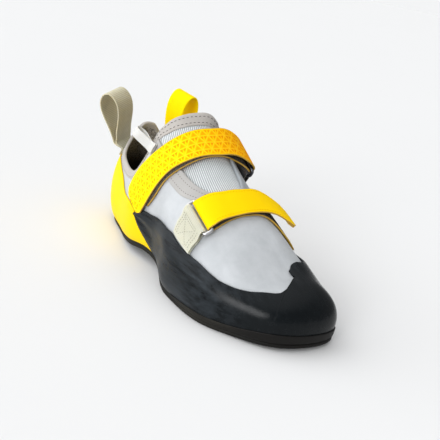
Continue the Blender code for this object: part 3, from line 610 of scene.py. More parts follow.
def refine(grid, rows, columns):
    """A finer grid on smooth curves through a coarse one, both ways."""
    grid = np.asarray(grid, float)
    step = np.linalg.norm(np.diff(grid, axis=0), axis=2).mean(axis=1)
    run = np.concatenate(([0.0], np.cumsum(step)))
    even = np.linspace(0.0, run[-1], rows)
    grid = np.stack([Curve(run, grid[:, j])(even) for j in range(grid.shape[1])], 1)
    places = np.arange(grid.shape[1], dtype=float)
    at = np.linspace(0.0, places[-1], columns)
    return np.stack([Curve(places, grid[i])(at) for i in range(rows)], 0)


def build(name, points, faces, materials, indices=None, uv=None, weld=0.0):
    """One smooth-shaded mesh object, its normals facing out, riding on the shoe."""
    mesh = bpy.data.meshes.new(name)
    mesh.from_pydata(np.asarray(points, float).tolist(), [], [list(map(int, face)) for face in faces])
    for each in materials:
        mesh.materials.append(each)
    if indices is not None:
        mesh.polygons.foreach_set("material_index", np.asarray(indices, dtype=np.int32))
    if uv is not None:
        layer = mesh.uv_layers.new(name="flow")
        loops = np.empty(len(mesh.loops), dtype=np.int32)
        mesh.loops.foreach_get("vertex_index", loops)
        layer.data.foreach_set("uv", np.asarray(uv, dtype=np.float32)[loops].ravel())
    work = bmesh.new()
    work.from_mesh(mesh)
    if weld:
        bmesh.ops.remove_doubles(work, verts=work.verts, dist=weld)
    bmesh.ops.recalc_face_normals(work, faces=work.faces)
    work.to_mesh(mesh)
    work.free()
    mesh.shade_smooth()
    made = bpy.data.objects.new(name, mesh)
    bpy.context.scene.collection.objects.link(made)
    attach(made, "root")
    return made


def arc_points(outer, inner, neighbour, count):
    """Points of a half-round edge from outer to inner, rounded away from the neighbour row."""
    centre = (outer + inner) / 2
    across = (outer - inner) / 2
    away = centre - neighbour
    away = unit(away - across * dot(away, across) / np.maximum(dot(across, across), 1e-15))
    radius = np.linalg.norm(across, axis=-1, keepdims=True)
    turns = [math.pi * (k + 1) / (count + 1) for k in range(count)]
    return [centre + across * math.cos(turn) + away * radius * math.sin(turn) for turn in turns]


EDGE_ROUND = 3


def wall(name, outer, inner, materials, uv=None, wrap=False, low_round=1, high_round=EDGE_ROUND,
         closed=None, weld=0.0):
    """A closed wall between two grids: rows run along it, columns across, with rounded edges.

    The materials are those of the outer face, the edges and the inner face. closed marks rows
    whose high edge meets the other side of the foot and needs no rim.
    """
    rows, wide = outer.shape[:2]
    section = [outer[:, j] for j in range(wide)]
    kinds = [0] * (wide - 1)
    high = arc_points(outer[:, -1], inner[:, -1], (outer[:, -2] + inner[:, -2]) / 2, high_round)
    section += high
    kinds += [1] * (high_round + 1)
    section += [inner[:, j] for j in range(wide - 1, -1, -1)]
    kinds += [2] * (wide - 1)
    low = arc_points(inner[:, 0], outer[:, 0], (outer[:, 1] + inner[:, 1]) / 2, low_round)
    section += low
    kinds += [1] * (low_round + 1)
    points = np.stack(section, 1)
    count = points.shape[1]
    maps = None
    if uv is not None:
        line = [uv[:, j] for j in range(wide)] + [uv[:, -1]] * high_round
        line += [uv[:, j] for j in range(wide - 1, -1, -1)] + [uv[:, 0]] * low_round
        maps = np.stack(line, 1).reshape(-1, 2)
    faces = []
    indices = []
    last_row = rows if wrap else rows - 1
    for i in range(last_row):
        here = i * count
        there = ((i + 1) % rows) * count
        shut = closed is not None and closed[i] and closed[(i + 1) % rows]
        for k in range(count):
            if shut and kinds[k] == 1 and wide - 1 <= k < wide + high_round:
                continue
            n = (k + 1) % count
            faces.append((here + k, there + k, there + n, here + n))
            indices.append(kinds[k])
    if not wrap:
        for row, flip in ((0, False), (rows - 1, True)):
            base = row * count
            opposite_first = wide + high_round + wide - 1
            for j in range(wide - 1):
                face = [base + j, base + j + 1, base + opposite_first - j - 1, base + opposite_first - j]
                faces.append(face[::-1] if flip else face)
                indices.append(1)
            fan = [base + wide - 1 + k for k in range(high_round + 2)]
            faces.append(fan[::-1] if flip else fan)
            indices.append(1)
            fan = [base + opposite_first + k for k in range(low_round + 1)] + [base]
            faces.append(fan[::-1] if flip else fan)
            indices.append(1)
    slots = len(materials)
    indices = np.minimum(np.array(indices), slots - 1)
    return build(name, points.reshape(-1, 3), faces, materials, indices, maps, weld)


def ribbon(name, grid, thickness, materials, uv):
    """A band with a rounded edge on each side, through a grid of points across and along it."""
    half = grid_normals(grid) * thickness / 2
    return wall(name, grid + half, grid - half, materials, uv, low_round=EDGE_ROUND)


def lengths(grid):
    """UV of a grid in metres: distance along its middle and across each row."""
    run = run_along(grid[:, grid.shape[1] // 2])
    steps = np.linalg.norm(np.diff(grid, axis=1), axis=2)
    across = np.concatenate((np.zeros((len(grid), 1)), np.cumsum(steps, axis=1)), 1)
    across -= across[:, -1:] / 2
    return np.stack((spread(run, grid.shape[1]), across), -1)


# Materials. Pitches, depths and bump heights are in metres, noise scales in cells a metre, and
# TOE_SHADE_START and TOE_SHADE_FULL are the places along the foot between which the rubber's dust fades
# out, a painted shade that darkens the toe.

RIB_PITCH = 0.0016
CLOTH_GLOSS = 0.04
WEBBING_DEPTH = 0.0026
SCUFF = 0.8
# Where the painted shade that darkens the toe begins and where it is full, as x in metres
TOE_SHADE_START = 0.015
TOE_SHADE_FULL = 0.060


def feed(tree, socket, value):
    """Link another node's output to a socket, or set its value."""
    if isinstance(value, bpy.types.NodeSocket):
        tree.links.new(value, socket)
    else:
        socket.default_value = value


def add_node(tree, kind, inputs=None, **settings):
    node = tree.nodes.new(kind)
    for key, value in settings.items():
        setattr(node, key, value)
    for key, value in (inputs or {}).items():
        feed(tree, node.inputs[key], value)
    return node


class Look:
    """A material with one Principled shader, and short ways to add colour, roughness and bump."""

    def __init__(self, name, colour, roughness, metallic=0.0):
        self.material = bpy.data.materials.new(name)
        self.material.use_nodes = True
        self.tree = self.material.node_tree
        self.shader = self.tree.nodes["Principled BSDF"]
        self.shader.inputs["Base Color"].default_value = (*colour, 1.0)
        self.shader.inputs["Roughness"].default_value = roughness
        self.shader.inputs["Metallic"].default_value = metallic
        self.height = None
        self.place = None

    def add(self, kind, inputs=None, **settings):
        return add_node(self.tree, kind, inputs, **settings)

    def math(self, operation, first, second=None, third=None):
        values = {i: v for i, v in enumerate((first, second, third)) if v is not None}
        return self.add("ShaderNodeMath", values, operation=operation).outputs[0]

    def objects(self):
        if self.place is None:
            self.place = self.add("ShaderNodeTexCoord").outputs["Object"]
        return self.place

    def flow(self):
        """Distance along and across the piece, in metres."""
        uv = self.add("ShaderNodeUVMap", uv_map="flow")
        parts = self.add("ShaderNodeSeparateXYZ", {0: uv.outputs[0]})
        return parts.outputs[0], parts.outputs[1]

    def stretched(self, scale):
        return self.add("ShaderNodeMapping", {"Vector": self.objects(), "Scale": scale}).outputs[0]

    def noise(self, scale, detail=4.0, rough=0.55, vector=None):
        inputs = {"Vector": vector or self.objects(), "Scale": scale, "Detail": detail, "Roughness": rough}
        return self.add("ShaderNodeTexNoise", inputs).outputs["Fac"]

    def ramp(self, value, low, high, out_low=0.0, out_high=1.0):
        inputs = {"Value": value, 1: low, 2: high, 3: out_low, 4: out_high}
        return self.add("ShaderNodeMapRange", inputs).outputs[0]

    def times(self, first, second):
        return self.math("MULTIPLY", first, second)

    def along(self, axis):
        """The object's own coordinate along x, y or z, as 0, 1 or 2."""
        return self.add("ShaderNodeSeparateXYZ", {0: self.objects()}).outputs[axis]

    def woven(self, pitch):
        """Yarns both along and across the piece."""
        along, across = self.flow()
        return self.times(wave(self, along, pitch), wave(self, across, pitch))

    def mix(self, share, first, second):
        first, second = ((*v, 1.0) if isinstance(v, tuple) else v for v in (first, second))
        return self.add("ShaderNodeMix", {0: share, 6: first, 7: second}, data_type="RGBA").outputs[2]

    def colour(self, value):
        feed(self.tree, self.shader.inputs["Base Color"], value)

    def rough(self, value):
        feed(self.tree, self.shader.inputs["Roughness"], value)

    def bump(self, value, distance, strength=1.0):
        inputs = {"Height": value, "Distance": distance, "Strength": strength}
        if self.height is not None:
            inputs["Normal"] = self.height
        self.height = self.add("ShaderNodeBump", inputs).outputs[0]
        feed(self.tree, self.shader.inputs["Normal"], self.height)

    def set(self, **values):
        for key, value in values.items():
            self.shader.inputs[key.replace("_", " ")].default_value = value


def microfibre(name, dark, pale):
    """Brushed synthetic suede: soft mottling and a fine nap."""
    look = Look(name, pale, 0.85)
    cloud = look.ramp(look.noise(55.0, 5.0, 0.6), 0.35, 0.68)
    grain = look.noise(1900.0, 3.0, 0.7)
    share = look.math("ADD", look.times(cloud, 0.55), look.times(grain, 0.45))
    look.colour(look.mix(share, dark, pale))
    look.rough(look.ramp(cloud, 0.0, 1.0, 0.78, 0.90))
    look.bump(grain, 0.00012, 0.55)
    look.bump(look.noise(320.0, 3.0), 0.00022, 0.35)
    look.set(Sheen_Weight=0.18, Sheen_Roughness=0.45)
    return look.material


def wave(look, along, pitch):
    """0 to 1 ridges with a pitch in metres."""
    turn = look.times(along, 2 * math.pi / pitch)
    return look.math("MULTIPLY_ADD", look.math("SINE", turn), 0.5, 0.5)


def webbing(name, dark, pale, pitch=0.0011):
    """Narrow woven tape: ribs across the tape and a fine yarn."""
    look = Look(name, pale, 0.72)
    along, across = look.flow()
    ribs = wave(look, along, pitch)
    yarns = wave(look, across, 0.0007)
    weave = look.times(ribs, look.math("MULTIPLY_ADD", yarns, 0.5, 0.5))
    dirt = look.noise(140.0)
    share = look.math("MULTIPLY_ADD", weave, 0.55, look.times(dirt, 0.45))
    look.colour(look.mix(share, dark, pale))
    look.bump(weave, 0.00014, 0.8)
    look.bump(look.noise(1500.0, 2.0), 0.0001, 0.4)
    look.set(Subsurface_Weight=0.7, Subsurface_Scale=WEBBING_DEPTH, Subsurface_Radius=(1.0, 0.9, 0.7),
             Specular_IOR_Level=CLOTH_GLOSS)
    return look.material


def knit(name, dark, pale):
    """Fine jersey with yarns too small to model."""
    look = Look(name, pale, 0.9)
    loops = look.woven(0.0008)
    cloud = look.noise(90.0)
    share = look.math("MULTIPLY_ADD", loops, 0.5, look.times(cloud, 0.5))
    look.colour(look.mix(share, dark, pale))
    look.bump(loops, 0.00015, 0.7)
    look.set(Sheen_Weight=0.15, Sheen_Roughness=0.5)
    return look.material


def ribbed(name, dark, pale):
    """Elastic knit with ribs along the foot, with painted shade darkening the grooves between them."""
    look = Look(name, pale, 0.9)
    across, along = look.flow()
    turn = look.times(across, math.pi / RIB_PITCH)
    # Painted shade: the grooves between the ribs are darkened towards the dark colour.
    groove = look.math("POWER", look.math("ABSOLUTE", look.math("COSINE", turn)), 4.0)
    yarn = wave(look, along, 0.0009)
    cloud = look.noise(90.0)
    share = look.math("MULTIPLY_ADD", yarn, 0.12, look.math("MULTIPLY_ADD", cloud, 0.30, 0.65))
    share = look.times(share, look.math("SUBTRACT", 1.0, groove))
    look.colour(look.mix(share, dark, pale))
    look.bump(yarn, 0.00006, 0.5)
    look.set(Sheen_Weight=0.10, Sheen_Roughness=0.5)
    return look.material


def pile(name, dark, pale, low=-1.0, high=-0.5):
    """Short fleece lining, with painted shade that darkens it below a height, deep inside the shoe."""
    look = Look(name, dark, 1.0)
    cells = look.add("ShaderNodeTexVoronoi", {"Vector": look.objects(), "Scale": 900.0})
    fuzz = look.noise(420.0, 5.0, 0.7)
    share = look.times(look.ramp(cells.outputs["Distance"], 0.0, 0.6), fuzz)
    # Painted shade: the lining is darkened below a height, deep inside the shoe.
    painted_depth_shade = look.ramp(look.along(2), low, high, 0.06, 1.0)
    look.colour(look.mix(look.times(look.ramp(share, 0.05, 0.5), painted_depth_shade), dark, pale))
    look.bump(share, 0.0008, 1.0)
    look.set(Specular_IOR_Level=CLOTH_GLOSS)
    return look.material


def rubber(name, dark, pale, low, high, streak, gloss):
    """Moulded rubber, a little dusty, its sheen drawn out along the foot, and darker towards the toe
    through painted shade.

    low and high are the least and the greatest roughness, and streak the noise's scale by axis.
    """
    look = Look(name, dark, low)
    drawn = look.noise(1.0, 6.0, 0.62, look.stretched(streak))
    dust_and_toe_shade = look.ramp(look.noise(15.0, 6.0, 0.62), 0.25, 0.72)
    # Painted shade: the dust fades out towards the toe, so the toe is drawn darker.
    dust_and_toe_shade = look.times(dust_and_toe_shade, look.ramp(look.along(0), TOE_SHADE_START, TOE_SHADE_FULL, 1.0, 0.06))
    share = look.times(dust_and_toe_shade, look.ramp(drawn, 0.35, 0.7))
    look.colour(look.mix(look.times(share, SCUFF), dark, pale))
    wear = look.math("ADD", look.times(drawn, 0.7), look.times(dust_and_toe_shade, 0.3))
    look.rough(look.ramp(wear, 0.3, 0.75, low, high))
    look.bump(drawn, 0.00025, 0.5)
    look.bump(look.noise(1300.0, 3.0, 0.6), 0.00006, 0.5)
    look.set(Specular_IOR_Level=gloss)
    return look.material


TRIANGLE_PITCH = 0.0074
TRIANGLE_ROW = 0.0062
PLAIN_EDGE = (0.0014, 0.0009)
PRINT_YELLOW = (0.95, 0.69, 0.000)
PRINT_ORANGE = (0.87, 0.32, 0.000)
PRINT_LINE = (0.96, 0.80, 0.06)
PRINT_TRIANGLE = (0.78, 0.24, 0.000)


def printed(name, width):
    """Strap face with rows of small triangles, deeper orange towards its ring."""
    look = Look(name, (0.95, 0.62, 0.02), 0.62)
    along, across = look.flow()
    row = look.math("DIVIDE", look.math("ADD", across, width / 2), TRIANGLE_ROW)
    number = look.math("FLOOR", row)
    up = look.math("FRACT", row)
    shifted = look.math("MULTIPLY_ADD", number, 0.5, look.math("DIVIDE", along, TRIANGLE_PITCH))
    place = look.math("FRACT", shifted)
    side = look.math("ABSOLUTE", look.math("MULTIPLY_ADD", place, 2.0, -1.0))
    standing = look.math("SUBTRACT", 1.0, look.math("ADD", side, up))
    hanging = look.math("SUBTRACT", look.math("ADD", side, up), 1.0)
    rim = look.math("MINIMUM", up, look.math("SUBTRACT", 1.0, up))
    first = look.math("MINIMUM", look.times(standing, 0.5), rim)
    second = look.math("MINIMUM", look.times(hanging, 0.5), rim)
    notch = look.math("SUBTRACT", look.times(side, 0.9), look.times(up, 0.32))
    solid = look.times(look.ramp(first, 0.08, 0.11), look.ramp(notch, 0.02, 0.06))
    solid_down = look.times(look.ramp(second, 0.12, 0.16), 0.70)
    fade = look.ramp(along, 0.012, 0.100, 1.0, 0.70)
    mask = look.times(look.math("MAXIMUM", solid, solid_down), fade)
    line = look.times(look.ramp(look.math("MAXIMUM", first, second), 0.0, 0.035, 1.0, 0.0), 0.45)
    edge = look.ramp(look.math("ABSOLUTE", across), width / 2 - PLAIN_EDGE[0], width / 2 - PLAIN_EDGE[1])
    ground = look.mix(look.ramp(along, 0.0, 0.09), PRINT_ORANGE, PRINT_YELLOW)
    ground = look.mix(line, ground, PRINT_LINE)
    mask = look.times(mask, look.math("SUBTRACT", 1.0, edge))
    look.colour(look.mix(mask, ground, PRINT_TRIANGLE))
    look.bump(look.woven(0.0008), 0.0001, 0.6)
    look.bump(mask, 0.0001, 0.5)
    look.set(Specular_IOR_Level=CLOTH_GLOSS)
    return look.material


def plain_strap(name, dark, pale):
    """Smooth coated fabric."""
    look = Look(name, pale, 0.58)
    cloud = look.noise(70.0, 5.0)
    weave = look.woven(0.0009)
    share = look.math("MULTIPLY_ADD", cloud, 0.7, look.times(weave, 0.3))
    look.colour(look.mix(share, dark, pale))
    look.bump(weave, 0.0001, 0.5)
    look.bump(look.noise(260.0, 3.0), 0.0002, 0.35)
    return look.material


def steel(name, colour):
    """Drawn wire with fine scratches."""
    look = Look(name, colour, 0.26, 1.0)
    scratch = look.noise(240.0, 4.0, 0.6)
    look.rough(look.ramp(scratch, 0.3, 0.7, 0.20, 0.40))
    look.bump(scratch, 0.00005, 0.3)
    return look.material


def thread(name, colour):
    """Twisted sewing thread."""
    look = Look(name, colour, 0.7)
    ply = look.noise(2500.0, 2.0)
    look.colour(look.mix(ply, tuple(c * 0.75 for c in colour), colour))
    look.bump(ply, 0.00008, 0.6)
    return look.material


PALE_GREY = microfibre("pale_microfibre", (0.365, 0.382, 0.397), (0.520, 0.538, 0.555))
DEEP_GREY = microfibre("deep_microfibre", (0.260, 0.282, 0.300), (0.370, 0.395, 0.410))
WARM_GREY = knit("warm_binding", (0.340, 0.315, 0.290), (0.520, 0.490, 0.455))
BAND_GREY = knit("warm_band", (0.325, 0.314, 0.300), (0.490, 0.476, 0.460))
# The dark colour is mostly painted shade in the grooves between the ribs.
RIB_GREY = ribbed("rib_knit", (0.235, 0.255, 0.270), (0.690, 0.718, 0.725))
# The lining's painted shade darkens it below 50 to 78 mm, deep inside the shoe.
LINING = pile("pile_lining", (0.006, 0.005, 0.004), (0.420, 0.385, 0.345), 0.050, 0.078)
BOARD = pile("insole_board", (0.008, 0.007, 0.006), (0.030, 0.027, 0.024))
BLACK_RUBBER = rubber("black_rubber", (0.0032, 0.0046, 0.0056), (0.048, 0.058, 0.068),
                      0.20, 0.44, (24.0, 260.0, 260.0), 0.13)
SOLE_RUBBER = rubber("sole_rubber", (0.0060, 0.0055, 0.0050), (0.052, 0.048, 0.038),
                     0.50, 0.75, (12.0, 30.0, 110.0), 0.14)
YELLOW_RUBBER = rubber("yellow_rubber", (0.860, 0.570, 0.000), (0.910, 0.650, 0.000),
                       0.36, 0.50, (30.0, 30.0, 12.0), 0.06)
YELLOW_STRAP = plain_strap("yellow_strap", (0.900, 0.560, 0.000), (0.960, 0.660, 0.000))
HOOK_PILE = pile("hook_and_loop", (0.016, 0.013, 0.010), (0.110, 0.092, 0.075))
TAN_EDGE = plain_strap("tan_edge", (0.360, 0.215, 0.035), (0.560, 0.350, 0.070))
BEIGE_WEBBING = webbing("beige_webbing", (0.430, 0.424, 0.335), (0.650, 0.640, 0.530))
GREY_WEBBING = webbing("grey_webbing", (0.345, 0.315, 0.215), (0.640, 0.600, 0.455), 0.0015)
PALE_WEBBING = webbing("pale_webbing", (0.470, 0.465, 0.445), (0.680, 0.675, 0.655), 0.0012)
YELLOW_WEBBING = webbing("yellow_webbing", (0.900, 0.570, 0.000), (0.960, 0.710, 0.000), 0.0010)
STEEL = steel("ring_steel", (0.50, 0.50, 0.51))
DARK_STEEL = steel("dark_steel", (0.11, 0.11, 0.12))
DARK_WEBBING = webbing("dark_webbing", (0.060, 0.060, 0.060), (0.170, 0.170, 0.172))
DARK_THREAD = thread("dark_thread", (0.040, 0.036, 0.036))
BROWN_THREAD = thread("brown_thread", (0.120, 0.098, 0.082))
OLIVE_THREAD = thread("olive_thread", (0.190, 0.175, 0.110))
YELLOW_THREAD = thread("yellow_thread", (0.760, 0.360, 0.000))
for cloth in (YELLOW_STRAP, YELLOW_WEBBING, TAN_EDGE, YELLOW_THREAD):
    cloth.node_tree.nodes["Principled BSDF"].inputs["Specular IOR Level"].default_value = CLOTH_GLOSS


# Sole and board

AROUND_COUNT = 420
SHARP_ANGLE = 50.0
around = np.linspace(0.0, ROUND, AROUND_COUNT, endpoint=False)


def plan_ring(outset, height):
    """Points round the sole's outline, moved out from the last's edge."""
    edge = last(around, 0.0)
    away = edge - last(around, 1.0)
    away[:, 2] = 0.0
    ring = edge + unit(away) * outset
    ring[:, 2] = height
    return ring


def cap(ring, base, face_up):
    """Triangles that fill a closed outline from its toe to its heel."""
    toe = int(np.argmax(ring[:, 0]))
    heel = int(np.argmin(ring[:, 0]))
    count = len(ring)
    inner = [(toe + i) % count for i in range((heel - toe) % count + 1)]
    outer = [(toe - i) % count for i in range((toe - heel) % count + 1)]
    faces = []
    i = j = 0
    while i < len(outer) - 1 or j < len(inner) - 1:
        outer_next = j == len(inner) - 1
        if not outer_next and i < len(outer) - 1:
            outer_next = ring[outer[i + 1], 0] >= ring[inner[j + 1], 0]
        if outer_next:
            face = (outer[i], inner[j], outer[i + 1])
            i += 1
        else:
            face = (outer[i], inner[j], inner[j + 1])
            j += 1
        if len(set(face)) == 3:
            faces.append(tuple(base + k for k in (face if face_up else face[::-1])))
    return faces


def stacked(name, rings, material):
    """Closed solid through rings listed from the bottom up."""
    count = len(rings[0])
    faces = []
    for level in range(len(rings) - 1):
        base = level * count
        for i in range(count):
            j = (i + 1) % count
            faces.append((base + i, base + j, base + count + j, base + count + i))
    faces += cap(rings[0], 0, False)
    faces += cap(rings[-1], (len(rings) - 1) * count, True)
    made = build(name, np.concatenate(rings), faces, [material])
    made.data.set_sharp_from_angle(angle=math.radians(SHARP_ANGLE))
    return made


SOLE_PROFILE = (
    # outset over the sole's margin, share of the thickness from the ground
    (-0.0018, 0.00),
    (-0.0008, 0.00),
    (-0.0002, 0.05),
    (0.0003, 0.14),
    (0.0006, 0.26),
    (0.0006, 0.60),
    (0.0004, 0.66),
    (0.0001, 0.70),
    (-0.0001, 0.78),
    (-0.0001, 0.96),
    (-0.0004, 1.00),
)


def make_outsole():
    top = sole_top(around) - GAP
    thick = SOLE_THICK - GAP
    rings = [plan_ring(SOLE_MARGIN + out, top - thick * (1.0 - up)) for out, up in SOLE_PROFILE]
    made = stacked("outsole_look", rings, SOLE_RUBBER)
    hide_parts("outsole")


# The sole's side wall over the foot of the rand, counted from the toe tip as for the rand; height
# is over the sole's upper face
SOLE_WALL_TOP = (
    # column, height
    (-4.60, -0.0010),
    (-4.20, 0.0015),
    (-3.60, 0.0033),
    (-2.95, 0.0035),
    (-2.45, 0.0037),
    (-2.00, 0.0044),
    (-1.55, 0.0058),
    (-1.00, 0.0064),
    (0.00, 0.0058),
    (1.20, 0.0050),
    (2.60, 0.0040),
    (4.00, 0.0032),
    (4.80, -0.0010),
)
SOLE_WALL_OUT = 0.0031
SOLE_WALL_THICK = 0.0009
SOLE_WALL_LEAST = 0.0002
SOLE_WALL_SINK = 0.0014
SOLE_WALL_FADE = 0.0024
SOLE_WALL_ROWS = 340
SOLE_WALL_LEVELS = 14


def make_sole_wall():
    """Side wall of the sole, lapped up over the foot of the rand round the forefoot."""
    from_toe = np.linspace(SOLE_WALL_TOP[0][0], SOLE_WALL_TOP[-1][0], SOLE_WALL_ROWS)
    height = Ramp(SOLE_WALL_TOP)(from_toe)
    from_toe = from_toe[height > SOLE_WALL_LEAST]
    height = height[height > SOLE_WALL_LEAST]
    column = from_toe % ROUND
    foot, wide, _ = column_sizes(column)
    low = foot_level(column, SOLE_WALL_OUT)
    rise = np.clip(height / (wide - foot), 0.0, 1.0)
    top = np.maximum(LOWER_SHARE * 2.0 / math.pi * np.arccos(1.0 - rise), low + LEAST_LEVEL / 2)
    level = between(low, top, np.linspace(0.0, 1.0, SOLE_WALL_LEVELS))
    wide_column = spread(column, SOLE_WALL_LEVELS)
    out = SOLE_WALL_OUT - SOLE_WALL_SINK * (1.0 - smooth(height / SOLE_WALL_FADE))
    out = spread(out, SOLE_WALL_LEVELS)
    outer = skin(wide_column, level, out)
    inner = skin(wide_column, level, out - SOLE_WALL_THICK)
    made = wall("sole_wall", outer, inner, [SOLE_RUBBER], lengths(outer))


INSOLE_INSET = 0.0017
INSOLE_THICK = 0.0025
INSOLE_BEVEL = 0.0005


def make_insole():
    base = sole_top(around)
    rings = [plan_ring(-INSOLE_INSET, base + INSOLE_THICK * up) for up in (0.0, 0.8)]
    rings.append(plan_ring(-INSOLE_INSET - INSOLE_BEVEL, base + INSOLE_THICK))
    made = stacked("insole_look", rings, BOARD)
    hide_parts("insole")


# Upper, its bindings and its bands

FRONT_COUNT = 70
OPEN_COUNT = 130
THROAT_COLUMN = float(column_at(THROAT_END, False))
front_inner = np.linspace(0.0, THROAT_COLUMN, FRONT_COUNT)
front_outer = opposite(front_inner[1:][::-1])
open_inner = np.linspace(THROAT_COLUMN, HEEL, OPEN_COUNT)[1:]
open_outer = np.linspace(HEEL, float(front_outer[0]), OPEN_COUNT)[1:-1]
UPPER_COLUMNS = np.concatenate((front_inner, open_inner, open_outer, front_outer))
UPPER_LEVELS = 64
WELD = 2e-5


def make_upper():
    """The hollow upper: microfibre outside, fleece inside, open at collar and throat."""
    top = opening_level(UPPER_COLUMNS)
    level = np.linspace(0.0, 1.0, UPPER_LEVELS)[None, :] * top[:, None]
    column = spread(UPPER_COLUMNS, UPPER_LEVELS)
    outer = skin(column, level, 0.0)
    inner = skin(column, level, -UPPER_WALL)
    made = wall("upper_look", outer, inner, [PALE_GREY, LINING, LINING], wrap=True, closed=top > 0.9999,
                weld=WELD)
    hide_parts("upper")


TAPE_STEPS = 9
EDGE_TURNS = [math.pi * k / 8 for k in range(1, 8)]
EDGE_TAPE_THICK = 0.0005
EDGE_TAPE_LIP = 0.06


def edge_tape(name, columns, top, out_width, in_width, material):
    """Binding tape that wraps an open edge of the upper, from outside over the rim to inside."""
    normal_rim = outward(columns, top)
    rim_out = skin(columns, top, 0.0)
    rim_in = skin(columns, top, -UPPER_WALL)
    below = skin(columns, top - level_step(columns, top, 0.001), 0.0)
    rise = unit(rim_out - below)
    outside = []
    inside = []
    for k in range(TAPE_STEPS):
        level = top - level_step(columns, top, out_width) * (1.0 - k / (TAPE_STEPS - 1))
        outside.append((skin(columns, level, 0.0), outward(columns, level)))
        level = top - level_step(columns, top, in_width) * (k / (TAPE_STEPS - 1))
        inside.append((skin(columns, level, -UPPER_WALL), -outward(columns, level)))
    over_rim = []
    centre = (rim_out + rim_in) / 2
    for turn in EDGE_TURNS:
        way = normal_rim * math.cos(turn) + rise * math.sin(turn)
        over_rim.append((centre + way * UPPER_WALL / 2, way))
    track = outside + over_rim + inside
    base = np.stack([point for point, _ in track], 1)
    ways = np.stack([way for _, way in track], 1)
    places = np.linspace(0.0, 1.0, len(track))
    lip = np.minimum(1.0, np.minimum(places, 1.0 - places) / EDGE_TAPE_LIP)
    top_face = base + ways * (0.00008 + EDGE_TAPE_THICK * lip[None, :, None] ** 0.5)
    bottom_face = base + ways * 0.00005
    return wall(name, top_face, bottom_face, [material], lengths(base), high_round=1)


COLLAR_BAND = 0.0062
COLLAR_BAND_INSIDE = 0.0050
COLLAR_COUNT = 260


def collar_columns(count):
    """Even columns round the collar, from its inner to its outer front corner."""
    first = float(column_at(THROAT_START, False))
    final = float(column_at(THROAT_START, True))
    return np.linspace(first, final, count)


def make_collar_binding():
    columns = collar_columns(COLLAR_COUNT)
    top = opening_level(columns)
    made = edge_tape("collar_binding", columns, top, COLLAR_BAND, COLLAR_BAND_INSIDE, WARM_GREY)


BAND_ACROSS = 14
BAND_LIFT = 0.00004
BAND_THICK = 0.00045
FLAP_BAND = 0.0120
GUSSET_INSET = 0.0028
GUSSET_WIDTH = 0.0170
GUSSET_THICK = 0.00035
THROAT_ROWS = 150
OUTER_BAND_SPAN = (THROAT_START + 0.002, 0.628)
INNER_BAND_SPAN = (THROAT_START + 0.002, 0.632)
THROAT_TAPE = 0.0030
FLAP_TAPE = 0.0010


def flat_band(name, columns, top, inset, width, thick, material):
    """A flat band on the upper, from inset below an edge and this wide."""
    high = top - level_step(columns, top, inset)
    step = level_step(columns, high, width)
    level = (high - step)[:, None] + step[:, None] * np.linspace(0.0, 1.0, BAND_ACROSS)
    column = spread(columns, BAND_ACROSS)
    outer = skin(column, level, BAND_LIFT + thick)
    inner = skin(column, level, BAND_LIFT)
    made = wall(name, outer, inner, [material], lengths(outer), low_round=EDGE_ROUND)


def make_throat_bands():
    """The outer flap's band, the stretch gusset inside, and a tape on each edge of the throat."""
    columns = column_at(np.linspace(*OUTER_BAND_SPAN, THROAT_ROWS), True)
    top = opening_level(columns)
    flat_band("flap_band", columns, top, 0.0, FLAP_BAND, BAND_THICK, BAND_GREY)
    inner_columns = column_at(np.linspace(*INNER_BAND_SPAN, THROAT_ROWS), False)
    inner_top = opening_level(inner_columns)
    # The inner tape and band are drawn a darker grey than the upper, along the inner edge of the throat.
    made = edge_tape("inner_throat_edge", inner_columns, inner_top, THROAT_TAPE, THROAT_TAPE, DEEP_GREY)
    flat_band("inner_gusset", inner_columns, inner_top, GUSSET_INSET, GUSSET_WIDTH, GUSSET_THICK, DEEP_GREY)
    made = edge_tape("outer_throat_edge", columns, top, FLAP_TAPE, THROAT_TAPE, BAND_GREY)


# Tongue

TONGUE_FRONT = 0.665
TONGUE_SINK = 0.0003
TONGUE_TAPER = 0.5
TONGUE_FLARE = 0.050
RIB_DEPTH = 0.00035
TONGUE_SIDE_COUNT = 460
TONGUE_ALONG = 60
TONGUE_BAND = 0.0066
TAPE_THICK = 0.00045
TAPE_LIFT = 0.00003
SPINE_BRIDGE = 0.12
BRIDGE_STEP = 4
LIFT_STEP = 0.001


def bridged(line, points):
    """The same points, carried in one smooth curve over the spine."""
    first = int(np.searchsorted(line, -SPINE_BRIDGE))
    final = int(np.searchsorted(line, SPINE_BRIDGE))
    span = line[final] - line[first]
    before, after = first - BRIDGE_STEP, final + BRIDGE_STEP
    leave = (points[first] - points[before]) / (line[first] - line[before]) * span
    arrive = (points[after] - points[final]) / (line[after] - line[final]) * span
    t = (line[first:final + 1] - line[first]) / span
    t = t.reshape(t.shape + (1,) * (points.ndim - 1))
    curve = (points[first] * (1.0 + 2.0 * t) * (1.0 - t) ** 2 + leave * t * (1.0 - t) ** 2
             + points[final] * t ** 2 * (3.0 - 2.0 * t) - arrive * t ** 2 * (1.0 - t))
    made = points.copy()
    made[first:final + 1] = curve
    return made


def tongue_surface(side, station, start, lift):
    """Points of the tongue, a lift above its outer face, with its flared top edge."""
    flare = Ramp([(row[0], row[2]) for row in TONGUE_TOP])(side)
    fade = np.clip(1.0 - (station - start) / TONGUE_FLARE, 0.0, None)
    face = flare * fade ** 2 - (UPPER_WALL + GAP + TONGUE_SINK)
    line = side if side.ndim == 1 else side[:, 0]
    low = bridged(line, over(station, side, face))
    high = bridged(line, over(station, side, face + LIFT_STEP))
    return low + (high - low) * (lift / LIFT_STEP)[..., None]


def tongue_rows():
    """Sides of the tongue, with the stations where it starts and ends there."""
    side = np.linspace(TONGUE_TOP[0][0], TONGUE_TOP[-1][0], TONGUE_SIDE_COUNT)
    start = Ramp([row[:2] for row in TONGUE_TOP])(side)
    return side, start, start + (TONGUE_FRONT - start) * (1.0 - TONGUE_TAPER * np.abs(side))


